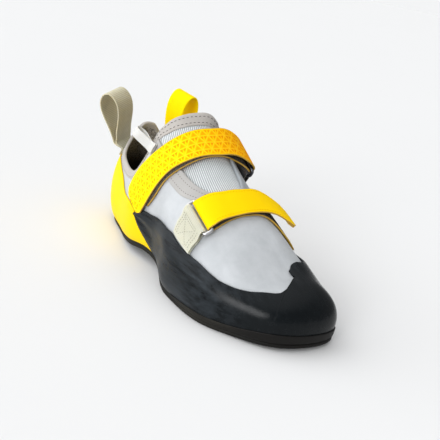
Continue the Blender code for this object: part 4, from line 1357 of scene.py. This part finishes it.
def make_tongue():
    """Ribbed knit panel with a bound top edge."""
    side, start, end = tongue_rows()
    station = between(start, end, np.linspace(0.0, 1.0, TONGUE_ALONG))
    sides = spread(side, TONGUE_ALONG)
    starts = spread(start, TONGUE_ALONG)
    run = run_along(tongue_surface(side, station[:, TONGUE_ALONG // 3], start, np.zeros(side.shape)))
    groove = RIB_DEPTH * np.abs(np.cos(math.pi * run / RIB_PITCH)) ** 3.0
    outer = tongue_surface(sides, station, starts, spread(-groove, TONGUE_ALONG))
    inner = tongue_surface(sides, station, starts, np.full(station.shape, -TONGUE_WALL))
    uv = lengths(outer)
    uv[..., 0] = run[:, None]
    materials = [RIB_GREY, RIB_GREY, LINING]
    made = wall("tongue_look", outer, inner, materials, uv, low_round=EDGE_ROUND, high_round=1)
    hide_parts("tongue")


def folded_tape(rows, start, side, lift_out, lift_in):
    """Rows of points from below the tongue's top edge, over it, to below it inside."""
    outside = [tongue_surface(side, start + gap, start, np.full(side.shape, lift_out)) for gap in rows]
    inside = [tongue_surface(side, start + gap, start, np.full(side.shape, lift_in)) for gap in rows[::-1]]
    rim = (outside[-1] + inside[0]) / 2
    half = (outside[-1] - inside[0]) / 2
    back = unit(outside[-1] - outside[-2])
    radius = np.linalg.norm(half, axis=1, keepdims=True)
    over_edge = [rim + half * math.cos(turn) + back * radius * math.sin(turn) for turn in EDGE_TURNS]
    return np.stack(outside + over_edge + inside, 1)


def make_tongue_binding():
    """Tape folded over the tongue's top edge, wider where the edge slants down to the sides."""
    side, start, _ = tongue_rows()
    keep = slice(2, -2, 2)
    side, start = side[keep], start[keep]
    gap = TONGUE_BAND / LENGTH / np.maximum(0.55, np.cos(side * 1.2))
    rows = [gap * (1.0 - k / (TAPE_STEPS - 1)) for k in range(TAPE_STEPS)]
    outer = folded_tape(rows, start, side, TAPE_THICK, -TONGUE_WALL - TAPE_THICK)
    inner = folded_tape(rows, start, side, TAPE_LIFT, -TONGUE_WALL - TAPE_LIFT)
    made = wall("tongue_binding", outer, inner, [WARM_GREY], lengths(outer), high_round=1)


# Rubber rands

RAND_LEVELS = 44
RAND_END_GAP = 0.02
RAND_COUNTS = (210, 26, 230)
SHUT_COLUMN = 0.9
CLOSING_START = -0.97
CLOSING_LENGTH = 0.12
PATCH_END = 2.1
SCULPT_START = 3.6
SCULPT_LENGTH = 1.6
HUMP = (0.80, 0.13, 0.0007)
DISH = (0.52, 0.16, 0.0006)
RAND_FOOT = 0.25


def rand_columns():
    """Columns of the toe rand counted from the toe, and which of them meet over the toe."""
    outer_count, shut_count, inner_count = RAND_COUNTS
    reach = TOE_RAND_TOP[-1][0] - RAND_END_GAP
    shut_from = float(opposite(SHUT_COLUMN)) - ROUND
    inner_shut = np.linspace(0.0, SHUT_COLUMN, shut_count)
    outer_shut = opposite(inner_shut[1:][::-1]) - ROUND
    outer_open = np.linspace(-reach, shut_from, outer_count)[:-1]
    inner_open = np.linspace(SHUT_COLUMN, reach, inner_count)[1:]
    columns = np.concatenate((outer_open, outer_shut, inner_shut, inner_open))
    shut = (columns >= shut_from - 1e-9) & (columns <= SHUT_COLUMN + 1e-9)
    return columns, shut


def swell(share, place, width, height):
    """A soft ridge across the rand's height."""
    return height * np.exp(-((share[None, :] - place) / width) ** 2)


def make_toe_rand():
    """Black rand, thicker towards its rounded top edge, closed over the big toe."""
    from_toe, shut = rand_columns()
    column = from_toe % ROUND
    low = foot_level(column, RAND_GAP + TOE_RAND_WALL)
    seam = rand_join(np.abs(from_toe))
    above_seam = seam + level_step(column, np.maximum(seam, 0.05), RAND_SEAM)
    low = np.where(np.abs(from_toe) > RAND_JOIN[0][0], np.maximum(low, above_seam), low)
    top = toe_rand_top(from_toe)
    closing = smooth((from_toe - CLOSING_START) / CLOSING_LENGTH)
    inner_top = np.where(from_toe <= PATCH_END, 1.0, top)
    top = np.where(from_toe < 0, top + (1.0 - top) * closing, inner_top)
    top = np.maximum(np.where(shut, 1.0, top), low + LEAST_LEVEL)
    share = np.linspace(0.0, 1.0, RAND_LEVELS)
    level = between(low, top, share)
    wide = spread(column, RAND_LEVELS)
    rear = smooth((np.abs(from_toe) - SCULPT_START) / SCULPT_LENGTH)[:, None]
    taper = smooth(np.minimum(share, RAND_FOOT)[None, :] / RAND_FOOT) * 0.5 + 0.5
    thick = RAND_GAP + TOE_RAND_WALL * (0.55 + 0.45 * taper)
    thick = thick + (swell(share, *HUMP) - swell(share, *DISH)) * rear
    outer = skin(wide, level, thick)
    inner = skin(wide, level, RAND_GAP)
    made = wall("toe_rand_look", outer, inner, [BLACK_RUBBER], high_round=5, closed=shut, weld=WELD)
    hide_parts("toe_rand")


HEEL_RAND_START = RAND_JOIN[0][0] + 0.03
HEEL_RAND_COUNT = 260
HEEL_RAND_LEVELS = 40
HEEL_END_TAPER = 0.12
HEEL_TOP_TAPER = 0.08


def make_heel_rand():
    """Yellow rand round the heel, thinner towards its ends and its top edge."""
    first = HEEL_RAND_START
    column = np.linspace(first, ROUND - first, HEEL_RAND_COUNT)
    low = foot_level(column, GAP + HEEL_RAND_WALL)
    from_toe = np.minimum(column, ROUND - column)
    from_heel = np.abs(column - HEEL)
    top = heel_rand_top(from_heel)
    top = np.where(from_heel > HEEL - RAND_JOIN[-1][0], np.minimum(top, rand_join(from_toe)), top)
    top = np.maximum(top, low + LEAST_LEVEL)
    share = np.linspace(0.0, 1.0, HEEL_RAND_LEVELS)
    level = between(low, top, share)
    wide = spread(column, HEEL_RAND_LEVELS)
    ends = smooth((np.minimum(column - first, ROUND - first - column)) / HEEL_END_TAPER)[:, None]
    rim = smooth((1.0 - share) / HEEL_TOP_TAPER)[None, :]
    thick = GAP + HEEL_RAND_WALL * (0.45 + 0.55 * ends) * (0.75 + 0.25 * rim)
    outer = skin(wide, level, thick)
    inner = skin(wide, level, GAP)
    made = wall("heel_rand_look", outer, inner, [YELLOW_RUBBER], high_round=4)
    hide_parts("heel_rand")


# Straps, rings and tabs

ACROSS = 5
STRAP_STEPS = 11
TURN_STEPS = 7
RING_TURN = RING_WIRE / 2 + GAP + STRAP_THICK / 2
STRAP_BASE = GAP + STRAP_THICK / 2 + LAYER_SLACK
TAB_TURN = RING_WIRE / 2 + GAP + TAB_THICK / 2
SLANT_REACH = 0.30
SLANT_PIVOT = 0.7


def layer_rows(table, base_lift, steps):
    """Even rows (side, rear, front, lift) along one layer of a strap."""
    sides = [row[0] for row in table]
    curves = [Ramp([(row[0], row[i]) for row in table]) for i in (1, 2, 3)]
    side = np.linspace(sides[0], sides[-1], steps)
    return [(s, *(float(curve(s)) for curve in curves[:2]), base_lift + float(curves[2](s))) for s in side]


def band_points(rows, slant=0.0):
    """Points across and along a band of (side, rear, front, lift) rows, its end turned by a slant."""
    share = np.linspace(0.0, 1.0, ACROSS)
    end = rows[-1][0]
    made = []
    for side, rear, front, lift in rows:
        turn = slant * float(smooth(1.0 - abs(side - end) / SLANT_REACH))
        places = side + turn * (SLANT_PIVOT - share)
        made.append(over(rear + (front - rear) * share, places, np.full(ACROSS, lift)))
    return made


def ring_frame(ring):
    """Middle of the strap's bar, direction along it, away from the strap, normal, half length."""
    side, rear, front, lift = ring[:4]
    start = over(rear, side, lift)
    end = over(front, side, lift)
    along = unit(end - start)
    normal = outward(column_at((rear + front) / 2, side < 0), 1.0 - abs(side))
    normal = unit(normal - along * np.dot(normal, along))
    away = np.cross(normal, along) * math.copysign(1.0, side)
    return (start + end) / 2, along, away, normal, np.linalg.norm(end - start) / 2


def hung_frame(ring):
    """The same for the ring itself, turned about the strap's bar to hang down from it."""
    middle, along, away, normal, half = ring_frame(ring)
    hang = math.radians(ring[-1])
    down = away * math.cos(hang) - normal * math.sin(hang)
    return middle, along, down, normal * math.cos(hang) + away * math.sin(hang), half


def turn_points(middle, along, facing, normal, half, radius):
    """Rows of points round a bar, from the layer below it to the layer above it."""
    share = np.linspace(-1.0, 1.0, ACROSS)[:, None]
    rows = []
    for i in range(TURN_STEPS):
        angle = math.pi * i / (TURN_STEPS - 1)
        centre = middle + facing * radius * math.sin(angle) - normal * radius * math.cos(angle)
        rows.append(centre + along * half * share)
    return rows


STRAP_ROWS = 230
STRAP_ACROSS = 26
END_TAPER = 0.25
FREE_SHARE = 0.9
TURN_SHARE = 0.46
WIDTH_ROW = 150
REAR_END = (0.0040, 0.060)
FRONT_END = (0.0030, 0.0)


def faced(grid):
    """The grid of a folded band, turned over if its free layer would face the foot."""
    row, place = int(len(grid) * FREE_SHARE), grid.shape[1] // 2
    along = grid[row + 1, place] - grid[row - 1, place]
    across = grid[row, place + 1] - grid[row, place - 1]
    from_foot = grid[row, place] - np.array((grid[row, place, 0], 0.0, SOLE_THICK))
    return grid if np.dot(np.cross(along, across), from_foot) > 0 else grid[:, ::-1]


def strap_grid(under, above, ring, clip, slant):
    """Fine grid of a strap; its free end has both corners cut off over the length clip."""
    low = layer_rows(under, STRAP_BASE, STRAP_STEPS)
    high = layer_rows(above, STRAP_BASE + STRAP_THICK + GAP, STRAP_STEPS + 2)
    middle, along, away, normal, half = ring_frame(ring)
    coarse = band_points(low) + turn_points(middle, along, away, normal, half, RING_TURN)
    coarse += band_points(high, slant)
    grid = refine(coarse, STRAP_ROWS, STRAP_ACROSS)
    to_end = np.linalg.norm(grid[:, STRAP_ACROSS // 2] - grid[-1, STRAP_ACROSS // 2], axis=1)
    centre = grid.mean(axis=1, keepdims=True)
    narrow = 1.0 - END_TAPER * np.clip(1.0 - to_end / clip, 0.0, 1.0)
    width = np.where(np.arange(STRAP_ROWS) > STRAP_ROWS // 2, narrow, 1.0)
    return faced(centre + (grid - centre) * width[:, None, None])


def strap_uv(grid):
    """Flow that starts at the ring's turn, so the print is deepest there."""
    uv = lengths(grid)
    turn_row = int(len(grid) * TURN_SHARE)
    uv[..., 0] -= uv[turn_row, 0, 0]
    return uv


def make_strap(name, grid, face, uv):
    """A strap with a printed face, raw tan edges and a hook-and-loop back."""
    made = ribbon(name + "_look", grid, STRAP_THICK, [face, TAN_EDGE, HOOK_PILE], uv)
    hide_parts(name)
    return made


TIP_ROWS = 12


def make_strap_tip(grid):
    """Free end of the front strap, folded under itself."""
    under = grid[-TIP_ROWS:] - grid_normals(grid)[-TIP_ROWS:] * STRAP_THICK
    materials = [YELLOW_STRAP, TAN_EDGE, TAN_EDGE]
    made = ribbon("strap_front_tip", under, STRAP_THICK, materials, lengths(under))


RING_STEPS = 96
RING_SIDES = 16
RING_ROUND = 0.0022
CORNER_STEPS = 8


def make_ring(name, ring, material):
    """A wire ring, long along the foot, bent from round wire with rounded corners."""
    middle, along, away, normal, half = hung_frame(ring)
    half_short = (RING_OPENING + RING_WIRE) / 2
    half_long = half + RING_WIRE / 2 + 2 * GAP
    centre = middle + away * half_short
    across = np.cross(normal, along)
    corner = []
    for quarter in range(4):
        u = 1.0 if quarter in (0, 3) else -1.0
        v = 1.0 if quarter in (0, 1) else -1.0
        for k in range(CORNER_STEPS + 1):
            angle = math.pi / 2 * (quarter + k / CORNER_STEPS)
            corner.append((u * (half_long - RING_ROUND) + RING_ROUND * math.cos(angle),
                           v * (half_short - RING_ROUND) + RING_ROUND * math.sin(angle)))
    corner.append(corner[0])
    corner = np.array(corner)
    run = run_along(corner)
    at = np.linspace(0.0, run[-1], RING_STEPS, endpoint=False)
    u, v = np.interp(at, run, corner[:, 0]), np.interp(at, run, corner[:, 1])
    path = centre + u[:, None] * along + v[:, None] * across
    tangent = unit(np.roll(path, -1, axis=0) - np.roll(path, 1, axis=0))
    sideways = unit(np.cross(normal, tangent))
    turn = np.linspace(0.0, 2 * math.pi, RING_SIDES, endpoint=False)[None, :, None]
    wire = (sideways[:, None] * np.cos(turn) + normal * np.sin(turn)) * RING_WIRE / 2
    points = (path[:, None] + wire).reshape(-1, 3)
    faces = []
    for i in range(RING_STEPS):
        for j in range(RING_SIDES):
            k = (j + 1) % RING_SIDES
            n = (i + 1) % RING_STEPS
            faces.append((i * RING_SIDES + j, i * RING_SIDES + k, n * RING_SIDES + k, n * RING_SIDES + j))
    made = build(name + "_look", points, faces, [material])
    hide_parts(name)


TAB_STEPS = 4
TAB_ROWS = 120
TAB_ACROSS = 22
TAB_BACK = 1.5
TAB_BACK_RISE = 0.4


def tab_grid(table, ring):
    """Fine grid of a webbing tab that is sewn down, turns round its ring and lies back on itself."""
    middle, along, away, normal, half = hung_frame(ring)
    middle = middle + away * (RING_OPENING + RING_WIRE)
    base = GAP + TAB_THICK / 2 + LAYER_SLACK
    low = layer_rows([(*row, 0.0) for row in table], base, TAB_STEPS)
    back = [(*row, TAB_THICK * (TAB_BACK + TAB_BACK_RISE * i)) for i, row in enumerate(table)]
    high = layer_rows(back[::-1], base, TAB_STEPS)
    turn = turn_points(middle, along, -away, normal, half, TAB_TURN)
    return faced(refine(band_points(low) + turn + band_points(high), TAB_ROWS, TAB_ACROSS))


def make_tab(name, grid, material):
    made = ribbon(name + "_look", grid, TAB_THICK, [material], lengths(grid))
    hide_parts(name)


# Pull loops

PULL_LOOPS = {
    # column, half its width in columns, where the sewn part starts and ends as shares of
    # COLLAR_HEIGHT, lean and roll in degrees, how far the teardrop opens, 1 outside the upper or -1
    # inside it, width, free height
    "heel_loop": (10.40, 0.36, 0.640, 0.690, 12.0, 13.0, 1.41, 1, 0.0208, 0.0522),
    "inner_loop": (8.66, 0.29, 0.560, 0.800, -1.0, 6.0, 1.00, -1, 0.0210, 0.0650),
}
PULL_LOOP_INSET = 0.012
PULL_LOOP_ROWS = 3
PULL_LOOP_CLEAR = 0.0040
LOOP_STEPS = 26
PULL_LOOP_GRID = (220, 24)
COLLAR_LOOP_GRID = (160, 14)


def smooth_path(rows):
    """Even points on a smooth curve through rows of coordinates."""
    rows = np.array(rows, float)
    run = run_along(rows)
    return Curve(run, rows)(np.linspace(0.0, run[-1], LOOP_STEPS))


def pull_loop_grid(place):
    """Coarse grid of a pull loop: both plies sewn to the upper, a free teardrop above them."""
    column, half_columns, low, edge, lean, roll, open_out, face, width, height = place
    lean, roll = math.radians(lean), math.radians(roll)
    low_z = low * COLLAR_HEIGHT
    lift_near = face * (GAP + LOOP_THICK / 2)
    if face < 0:
        lift_near -= UPPER_WALL + GAP
    lift_far = lift_near + face * (LOOP_THICK + GAP)

    def edge_at(at):
        return np.minimum(edge, collar_height(at) - PULL_LOOP_INSET) * COLLAR_HEIGHT

    level = level_at_height(column, edge_at(column))
    base = skin(column, level, (lift_near + lift_far) / 2 + face * PULL_LOOP_CLEAR)
    normal = outward(column, level)
    flat = unit(np.array((normal[0], normal[1], 0.0))) * face
    sideways = np.array((-flat[1], flat[0], 0.0))
    rise = np.array((0.0, 0.0, 1.0)) * math.cos(lean) + flat * math.sin(lean)
    rise = rise * math.cos(roll) + sideways * math.sin(roll)
    out = unit(flat - rise * np.dot(flat, rise))
    wide = np.cross(out, rise)
    free = smooth_path([base + (rise * up + out * back * open_out) * height for up, back in TEARDROP])
    across = np.linspace(-1.0, 1.0, ACROSS)

    def sewn(share, lift):
        at = column - face * half_columns * across
        z = low_z + (edge_at(at) - low_z) * share
        return skin(at, level_at_height(at, z), np.full(ACROSS, lift))

    shares = [i / PULL_LOOP_ROWS for i in range(PULL_LOOP_ROWS + 1)]
    grid = [sewn(share, lift_near) for share in shares[1:]]
    grid += [point + wide * width / 2 * across[:, None] for point in free]
    return grid + [sewn(share, lift_far) for share in reversed(shares)]


COLLAR_LOOP_WIDTH = 0.0070
COLLAR_LOOP_LENGTH = 0.0265
COLLAR_LOOP_Z = 0.985
COLLAR_LOOP_SEWN = (12.99, 13.12)
COLLAR_LOOP_RISE = 0.25
COLLAR_LOOP_OPEN = 1.2
BINDING_STEP = 0.0005


def collar_loop_grid():
    """A small folded loop that points back over the collar from its outer front corner."""
    base = COLLAR_LOOP_Z * COLLAR_HEIGHT
    lift_near = BINDING_STEP + 2 * GAP + LOOP_THICK / 2
    lift_far = lift_near + LOOP_THICK + GAP
    start, end = COLLAR_LOOP_SEWN
    across = np.linspace(-0.5, 0.5, ACROSS)

    def sewn(column, lift):
        z = base + COLLAR_LOOP_WIDTH * across
        return skin(np.full(ACROSS, column), level_at_height(column, z), np.full(ACROSS, lift))

    middle = (lift_near + lift_far) / 2
    root = skin(start, level_at_height(start, base), middle)
    ahead = skin(end, level_at_height(end, base), middle)
    normal = outward(start, level_at_height(start, base))
    back = unit(root - ahead + np.array((0.0, 0.0, 1.0)) * COLLAR_LOOP_RISE * np.linalg.norm(root - ahead))
    out = unit(normal - back * np.dot(normal, back))
    wide = np.cross(out, back)
    wide = wide * math.copysign(1.0, wide[2])
    open_out = out * COLLAR_LOOP_OPEN
    rows = [root + (back * up - open_out * away) * COLLAR_LOOP_LENGTH for up, away in TEARDROP]
    grid = [sewn(end, lift_far), sewn((start + end) / 2, lift_far)]
    grid += [point + wide * COLLAR_LOOP_WIDTH * across[:, None] for point in smooth_path(rows)]
    return grid + [sewn((start + end) / 2, lift_near), sewn(end, lift_near)]


def make_loops():
    looks = {"heel_loop": (GREY_WEBBING, "grey_webbing"), "inner_loop": (YELLOW_WEBBING, "yellow_webbing")}
    for name, place in PULL_LOOPS.items():
        material, slot = looks[name]
        grid = refine(pull_loop_grid(place), *PULL_LOOP_GRID)
        made = ribbon(name + "_look", grid, LOOP_THICK, [material], lengths(grid))
        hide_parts(name)
    grid = refine(collar_loop_grid(), *COLLAR_LOOP_GRID)
    made = ribbon("collar_loop_look", grid, LOOP_THICK, [PALE_WEBBING], lengths(grid))
    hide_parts("collar_loop")


# Stitches

STITCH_SIDES = 6
STITCH_RINGS = 6


def make_stitches(name, lines, material, slot, length, pitch, radius):
    """Short rounded stitches laid along lines of (points, normals)."""
    points = []
    faces = []
    for path, normals in lines:
        run = run_along(path)
        count = max(1, int((run[-1] - length) / pitch))
        starts = (run[-1] - (count - 1) * pitch) / 2 + pitch * np.arange(count)
        for at in starts:
            s = at + np.linspace(-0.5, 0.5, STITCH_RINGS) * length
            ring = np.stack([np.interp(s, run, path[:, k]) for k in range(3)], 1)
            up = unit(np.array([np.interp(at, run, normals[:, k]) for k in range(3)]))
            way = unit(ring[-1] - ring[0])
            aside = np.cross(way, up)
            bow = 1.0 - np.linspace(-1.0, 1.0, STITCH_RINGS) ** 2
            size = radius * np.maximum(0.25, bow ** 0.35)
            centre = ring + up * (radius * 0.9 * bow - radius * 0.5)[:, None]
            base = len(points)
            for row in range(STITCH_RINGS):
                for k in range(STITCH_SIDES):
                    turn = 2 * math.pi * k / STITCH_SIDES
                    points.append(centre[row] + (aside * math.cos(turn) + up * math.sin(turn)) * size[row])
            for row in range(STITCH_RINGS - 1):
                for k in range(STITCH_SIDES):
                    n = (k + 1) % STITCH_SIDES
                    a = base + row * STITCH_SIDES
                    faces.append((a + k, a + n, a + STITCH_SIDES + n, a + STITCH_SIDES + k))
            faces.append(tuple(base + k for k in reversed(range(STITCH_SIDES))))
            faces.append(tuple(base + (STITCH_RINGS - 1) * STITCH_SIDES + k for k in range(STITCH_SIDES)))
    made = build(name, points, faces, [material])


def edge_line(columns, top, down, lift):
    """Line of points and normals a distance below an edge of the upper."""
    level = top - level_step(columns, top, down)
    return skin(columns, level, np.full(np.shape(columns), lift)), outward(columns, level)


def grid_line(grid, rows, share, lift):
    """Line along a strap or loop at a share of its width, on its outer face."""
    normal = grid_normals(grid)
    j = int(round(share * (grid.shape[1] - 1)))
    return grid[rows, j] + normal[rows, j] * lift, normal[rows, j]


def cross_line(grid, row, first, final, lift):
    """Line across a strap or loop, on its outer face."""
    normal = grid_normals(grid)
    places = slice(int(first * (grid.shape[1] - 1)), int(final * (grid.shape[1] - 1)) + 1)
    return grid[row, places] + normal[row, places] * lift, normal[row, places]


def slant_line(grid, first_row, final_row, shares, lift):
    """Line that crosses a strap or loop while it runs along it."""
    normal = grid_normals(grid)
    rows = np.arange(int(len(grid) * first_row), int(len(grid) * final_row))
    place = np.linspace(shares[0], shares[1], len(rows)) * (grid.shape[1] - 1)
    low = np.floor(place).astype(int)
    part = (place - low)[:, None]
    path = grid[rows, low] * (1.0 - part) + grid[rows, low + 1] * part
    return path + normal[rows, low] * lift, normal[rows, low]


# Stitch length, pitch and thread radius, and how far below its edge each row of stitches runs
FLAP_STITCH = (0.0010, 0.0025, 0.00026)
FLAP_DOWN = (0.0030, 0.0090)
FLAP_SPAN = (THROAT_START + 0.006, 0.622)
TONGUE_STITCH = (0.0022, 0.0034, 0.00026)
TONGUE_DOWN = (0.0014, 0.0050)
TONGUE_ENDS = slice(6, -6)
COLLAR_STITCH = (0.0016, 0.0026, 0.00020)
COLLAR_DOWN = 0.0046
STRAP_STITCH = (0.0016, 0.0024, 0.00015)
STRAP_LINES = (0.09, 0.91)
TAB_STITCH = (0.0013, 0.0020, 0.00019)
TAB_LINES = (0.08, 0.20, 0.80, 0.92)
TAB_CROSS = (0.64, 0.67)
TAB_SLANTS = ((0.22, 0.78), (0.78, 0.22))


def make_all_stitches(front, tabs):
    """Rows of stitches on the flap, the tongue's binding, the collar, the front strap and the tabs."""
    columns = column_at(np.linspace(*FLAP_SPAN, 200), True)
    top = opening_level(columns)
    lines = [edge_line(columns, top, down, BAND_THICK + BAND_LIFT) for down in FLAP_DOWN]
    make_stitches("flap_stitches", lines, BROWN_THREAD, "microfibre", *FLAP_STITCH)
    side, start, _ = tongue_rows()
    lines = []
    for down in TONGUE_DOWN:
        station = start + down / LENGTH
        path = tongue_surface(side, station, start, np.full(side.shape, TAPE_THICK))
        ups = unit(path - tongue_surface(side, station, start, np.zeros(side.shape)))
        lines.append((path[TONGUE_ENDS], ups[TONGUE_ENDS]))
    make_stitches("tongue_stitches", lines, DARK_THREAD, "knit", *TONGUE_STITCH)
    columns = collar_columns(300)
    line = edge_line(columns, opening_level(columns), COLLAR_DOWN, EDGE_TAPE_THICK)
    make_stitches("collar_stitches", [line], BROWN_THREAD, "microfibre", *COLLAR_STITCH)
    rows = slice(int(STRAP_ROWS * 0.54), STRAP_ROWS - TIP_ROWS)
    lines = [grid_line(front, rows, share, STRAP_THICK / 2) for share in STRAP_LINES]
    make_stitches("front_strap_stitches", lines, YELLOW_THREAD, "strap_plain", *STRAP_STITCH)
    lines = []
    half = TAB_THICK / 2
    for grid in tabs:
        rows = slice(int(len(grid) * 0.62), len(grid) - 4)
        lines += [grid_line(grid, rows, share, half) for share in TAB_LINES]
        lines += [cross_line(grid, int(len(grid) * share), 0.10, 0.90, half) for share in TAB_CROSS]
        lines += [slant_line(grid, 0.68, 0.97, shares, half) for shares in TAB_SLANTS]
    make_stitches("tab_stitches", lines, OLIVE_THREAD, "webbing", *TAB_STITCH)


def make_everything():
    make_outsole()
    make_sole_wall()
    make_insole()
    make_upper()
    make_collar_binding()
    make_throat_bands()
    make_tongue()
    make_tongue_binding()
    make_toe_rand()
    make_heel_rand()
    rear = strap_grid(STRAP_REAR_UNDER, STRAP_REAR_OVER, STRAP_REAR_RING, *REAR_END)
    front = strap_grid(STRAP_FRONT_UNDER, STRAP_FRONT_OVER, STRAP_FRONT_RING, *FRONT_END)
    width = float(np.linalg.norm(rear[WIDTH_ROW, -1] - rear[WIDTH_ROW, 0]))
    make_strap("strap_rear", rear, printed("printed_strap", width), strap_uv(rear))
    make_strap("strap_front", front, YELLOW_STRAP, strap_uv(front))
    make_strap_tip(front)
    make_ring("ring_rear", STRAP_REAR_RING, DARK_STEEL)
    make_ring("ring_front", STRAP_FRONT_RING, STEEL)
    tab_rear = tab_grid(TAB_REAR, STRAP_REAR_RING)
    tab_front = tab_grid(TAB_FRONT, STRAP_FRONT_RING)
    make_tab("ring_tab_rear", tab_rear, DARK_WEBBING)
    make_tab("ring_tab_front", tab_front, BEIGE_WEBBING)
    make_loops()
    make_all_stitches(front, (tab_rear, tab_front))


make_everything()


# Floor, room and camera

FLOOR_HALF = 14.0
PAPER_DARK = (0.732, 0.732, 0.732)
PAPER = (0.737, 0.737, 0.737)
PAPER_PALE = (0.742, 0.742, 0.742)


def make_floor():
    """A wide sheet of matt white paper."""
    mesh = bpy.data.meshes.new("floor")
    corners = [(x * FLOOR_HALF, y * FLOOR_HALF, 0.0) for x, y in ((-1, -1), (1, -1), (1, 1), (-1, 1))]
    mesh.from_pydata(corners, [], [(0, 1, 2, 3)])
    look = Look("floor_paper", PAPER, 0.95)
    look.colour(look.mix(look.noise(2.0, 3.0), PAPER_DARK, PAPER_PALE))
    mesh.materials.append(look.material)
    floor = bpy.data.objects.new("floor", mesh)
    bpy.context.scene.collection.objects.link(floor)


SKY_BASE = 0.40
SKY_COLOUR = (0.978, 0.986, 0.995)
BACKDROP = (0.905, 0.912, 0.920)
SOFT_BOXES = (
    # direction, angle in degrees where the box is full, angle where it ends, strength
    ((-0.10, -0.15, 1.00), 12.0, 60.0, 1.02),
    ((-0.60, -0.78, 0.50), 18.0, 48.0, 1.85),
    ((0.41, -0.87, 0.27), 5.0, 17.0, 11.00),
)


def make_sky():
    """An even room with soft boxes far away, so the floor is lit the same everywhere."""
    world = bpy.data.worlds.new("soft_room")
    world.use_nodes = True
    tree = world.node_tree
    place = add_node(tree, "ShaderNodeTexCoord").outputs["Generated"]
    strength = SKY_BASE
    for direction, full, end, power in SOFT_BOXES:
        towards = Vector(direction).normalized()
        facing = add_node(tree, "ShaderNodeVectorMath", {0: place, 1: towards}, operation="DOT_PRODUCT")
        limits = {"Value": facing.outputs["Value"], 1: math.cos(math.radians(end)),
                  2: math.cos(math.radians(full)), 3: 0.0, 4: power}
        box = add_node(tree, "ShaderNodeMapRange", limits, interpolation_type="SMOOTHSTEP")
        total = add_node(tree, "ShaderNodeMath", {0: box.outputs[0], 1: strength}, operation="ADD")
        strength = total.outputs[0]
    sky = tree.nodes["Background"]
    feed(tree, sky.inputs["Color"], (*SKY_COLOUR, 1.0))
    feed(tree, sky.inputs["Strength"], strength)
    seen = add_node(tree, "ShaderNodeBackground", {"Color": (*BACKDROP, 1.0)})
    path = add_node(tree, "ShaderNodeLightPath").outputs["Is Camera Ray"]
    mixed = add_node(tree, "ShaderNodeMixShader", {0: path, 1: sky.outputs[0], 2: seen.outputs[0]})
    feed(tree, tree.nodes["World Output"].inputs["Surface"], mixed.outputs[0])
    bpy.context.scene.world = world
    bpy.context.scene.view_settings.view_transform = "Standard"


CAMERA_AZIMUTH = 37.942
CAMERA_ELEVATION = 19.952
CAMERA_ROLL = 11.789
CAMERA_DISTANCE = 0.5894
CAMERA_TARGET = (-0.0615, 0.0218, 0.0400)
SENSOR = 36.0
CAMERA_LENS = 704.79 / 440.0 * SENSOR


def make_camera():
    """The photo's camera: azimuth from the toe towards the outer side, then roll."""
    a, e, r = (math.radians(v) for v in (CAMERA_AZIMUTH, CAMERA_ELEVATION, CAMERA_ROLL))
    back = Vector((math.cos(a) * math.cos(e), -math.sin(a) * math.cos(e), math.sin(e)))
    right = Vector((0.0, 0.0, 1.0)).cross(back).normalized()
    up = back.cross(right)
    rolled_right = right * math.cos(r) + up * math.sin(r)
    rolled_up = up * math.cos(r) - right * math.sin(r)
    data = bpy.data.cameras.new("camera")
    data.sensor_width = SENSOR
    data.lens = CAMERA_LENS
    data.clip_start = 0.01
    camera = bpy.data.objects.new("camera", data)
    turn = Matrix((rolled_right, rolled_up, back)).transposed().to_4x4()
    camera.matrix_world = Matrix.Translation(Vector(CAMERA_TARGET) + back * CAMERA_DISTANCE) @ turn
    bpy.context.scene.collection.objects.link(camera)
    bpy.context.scene.camera = camera


make_floor()
make_sky()
make_camera()
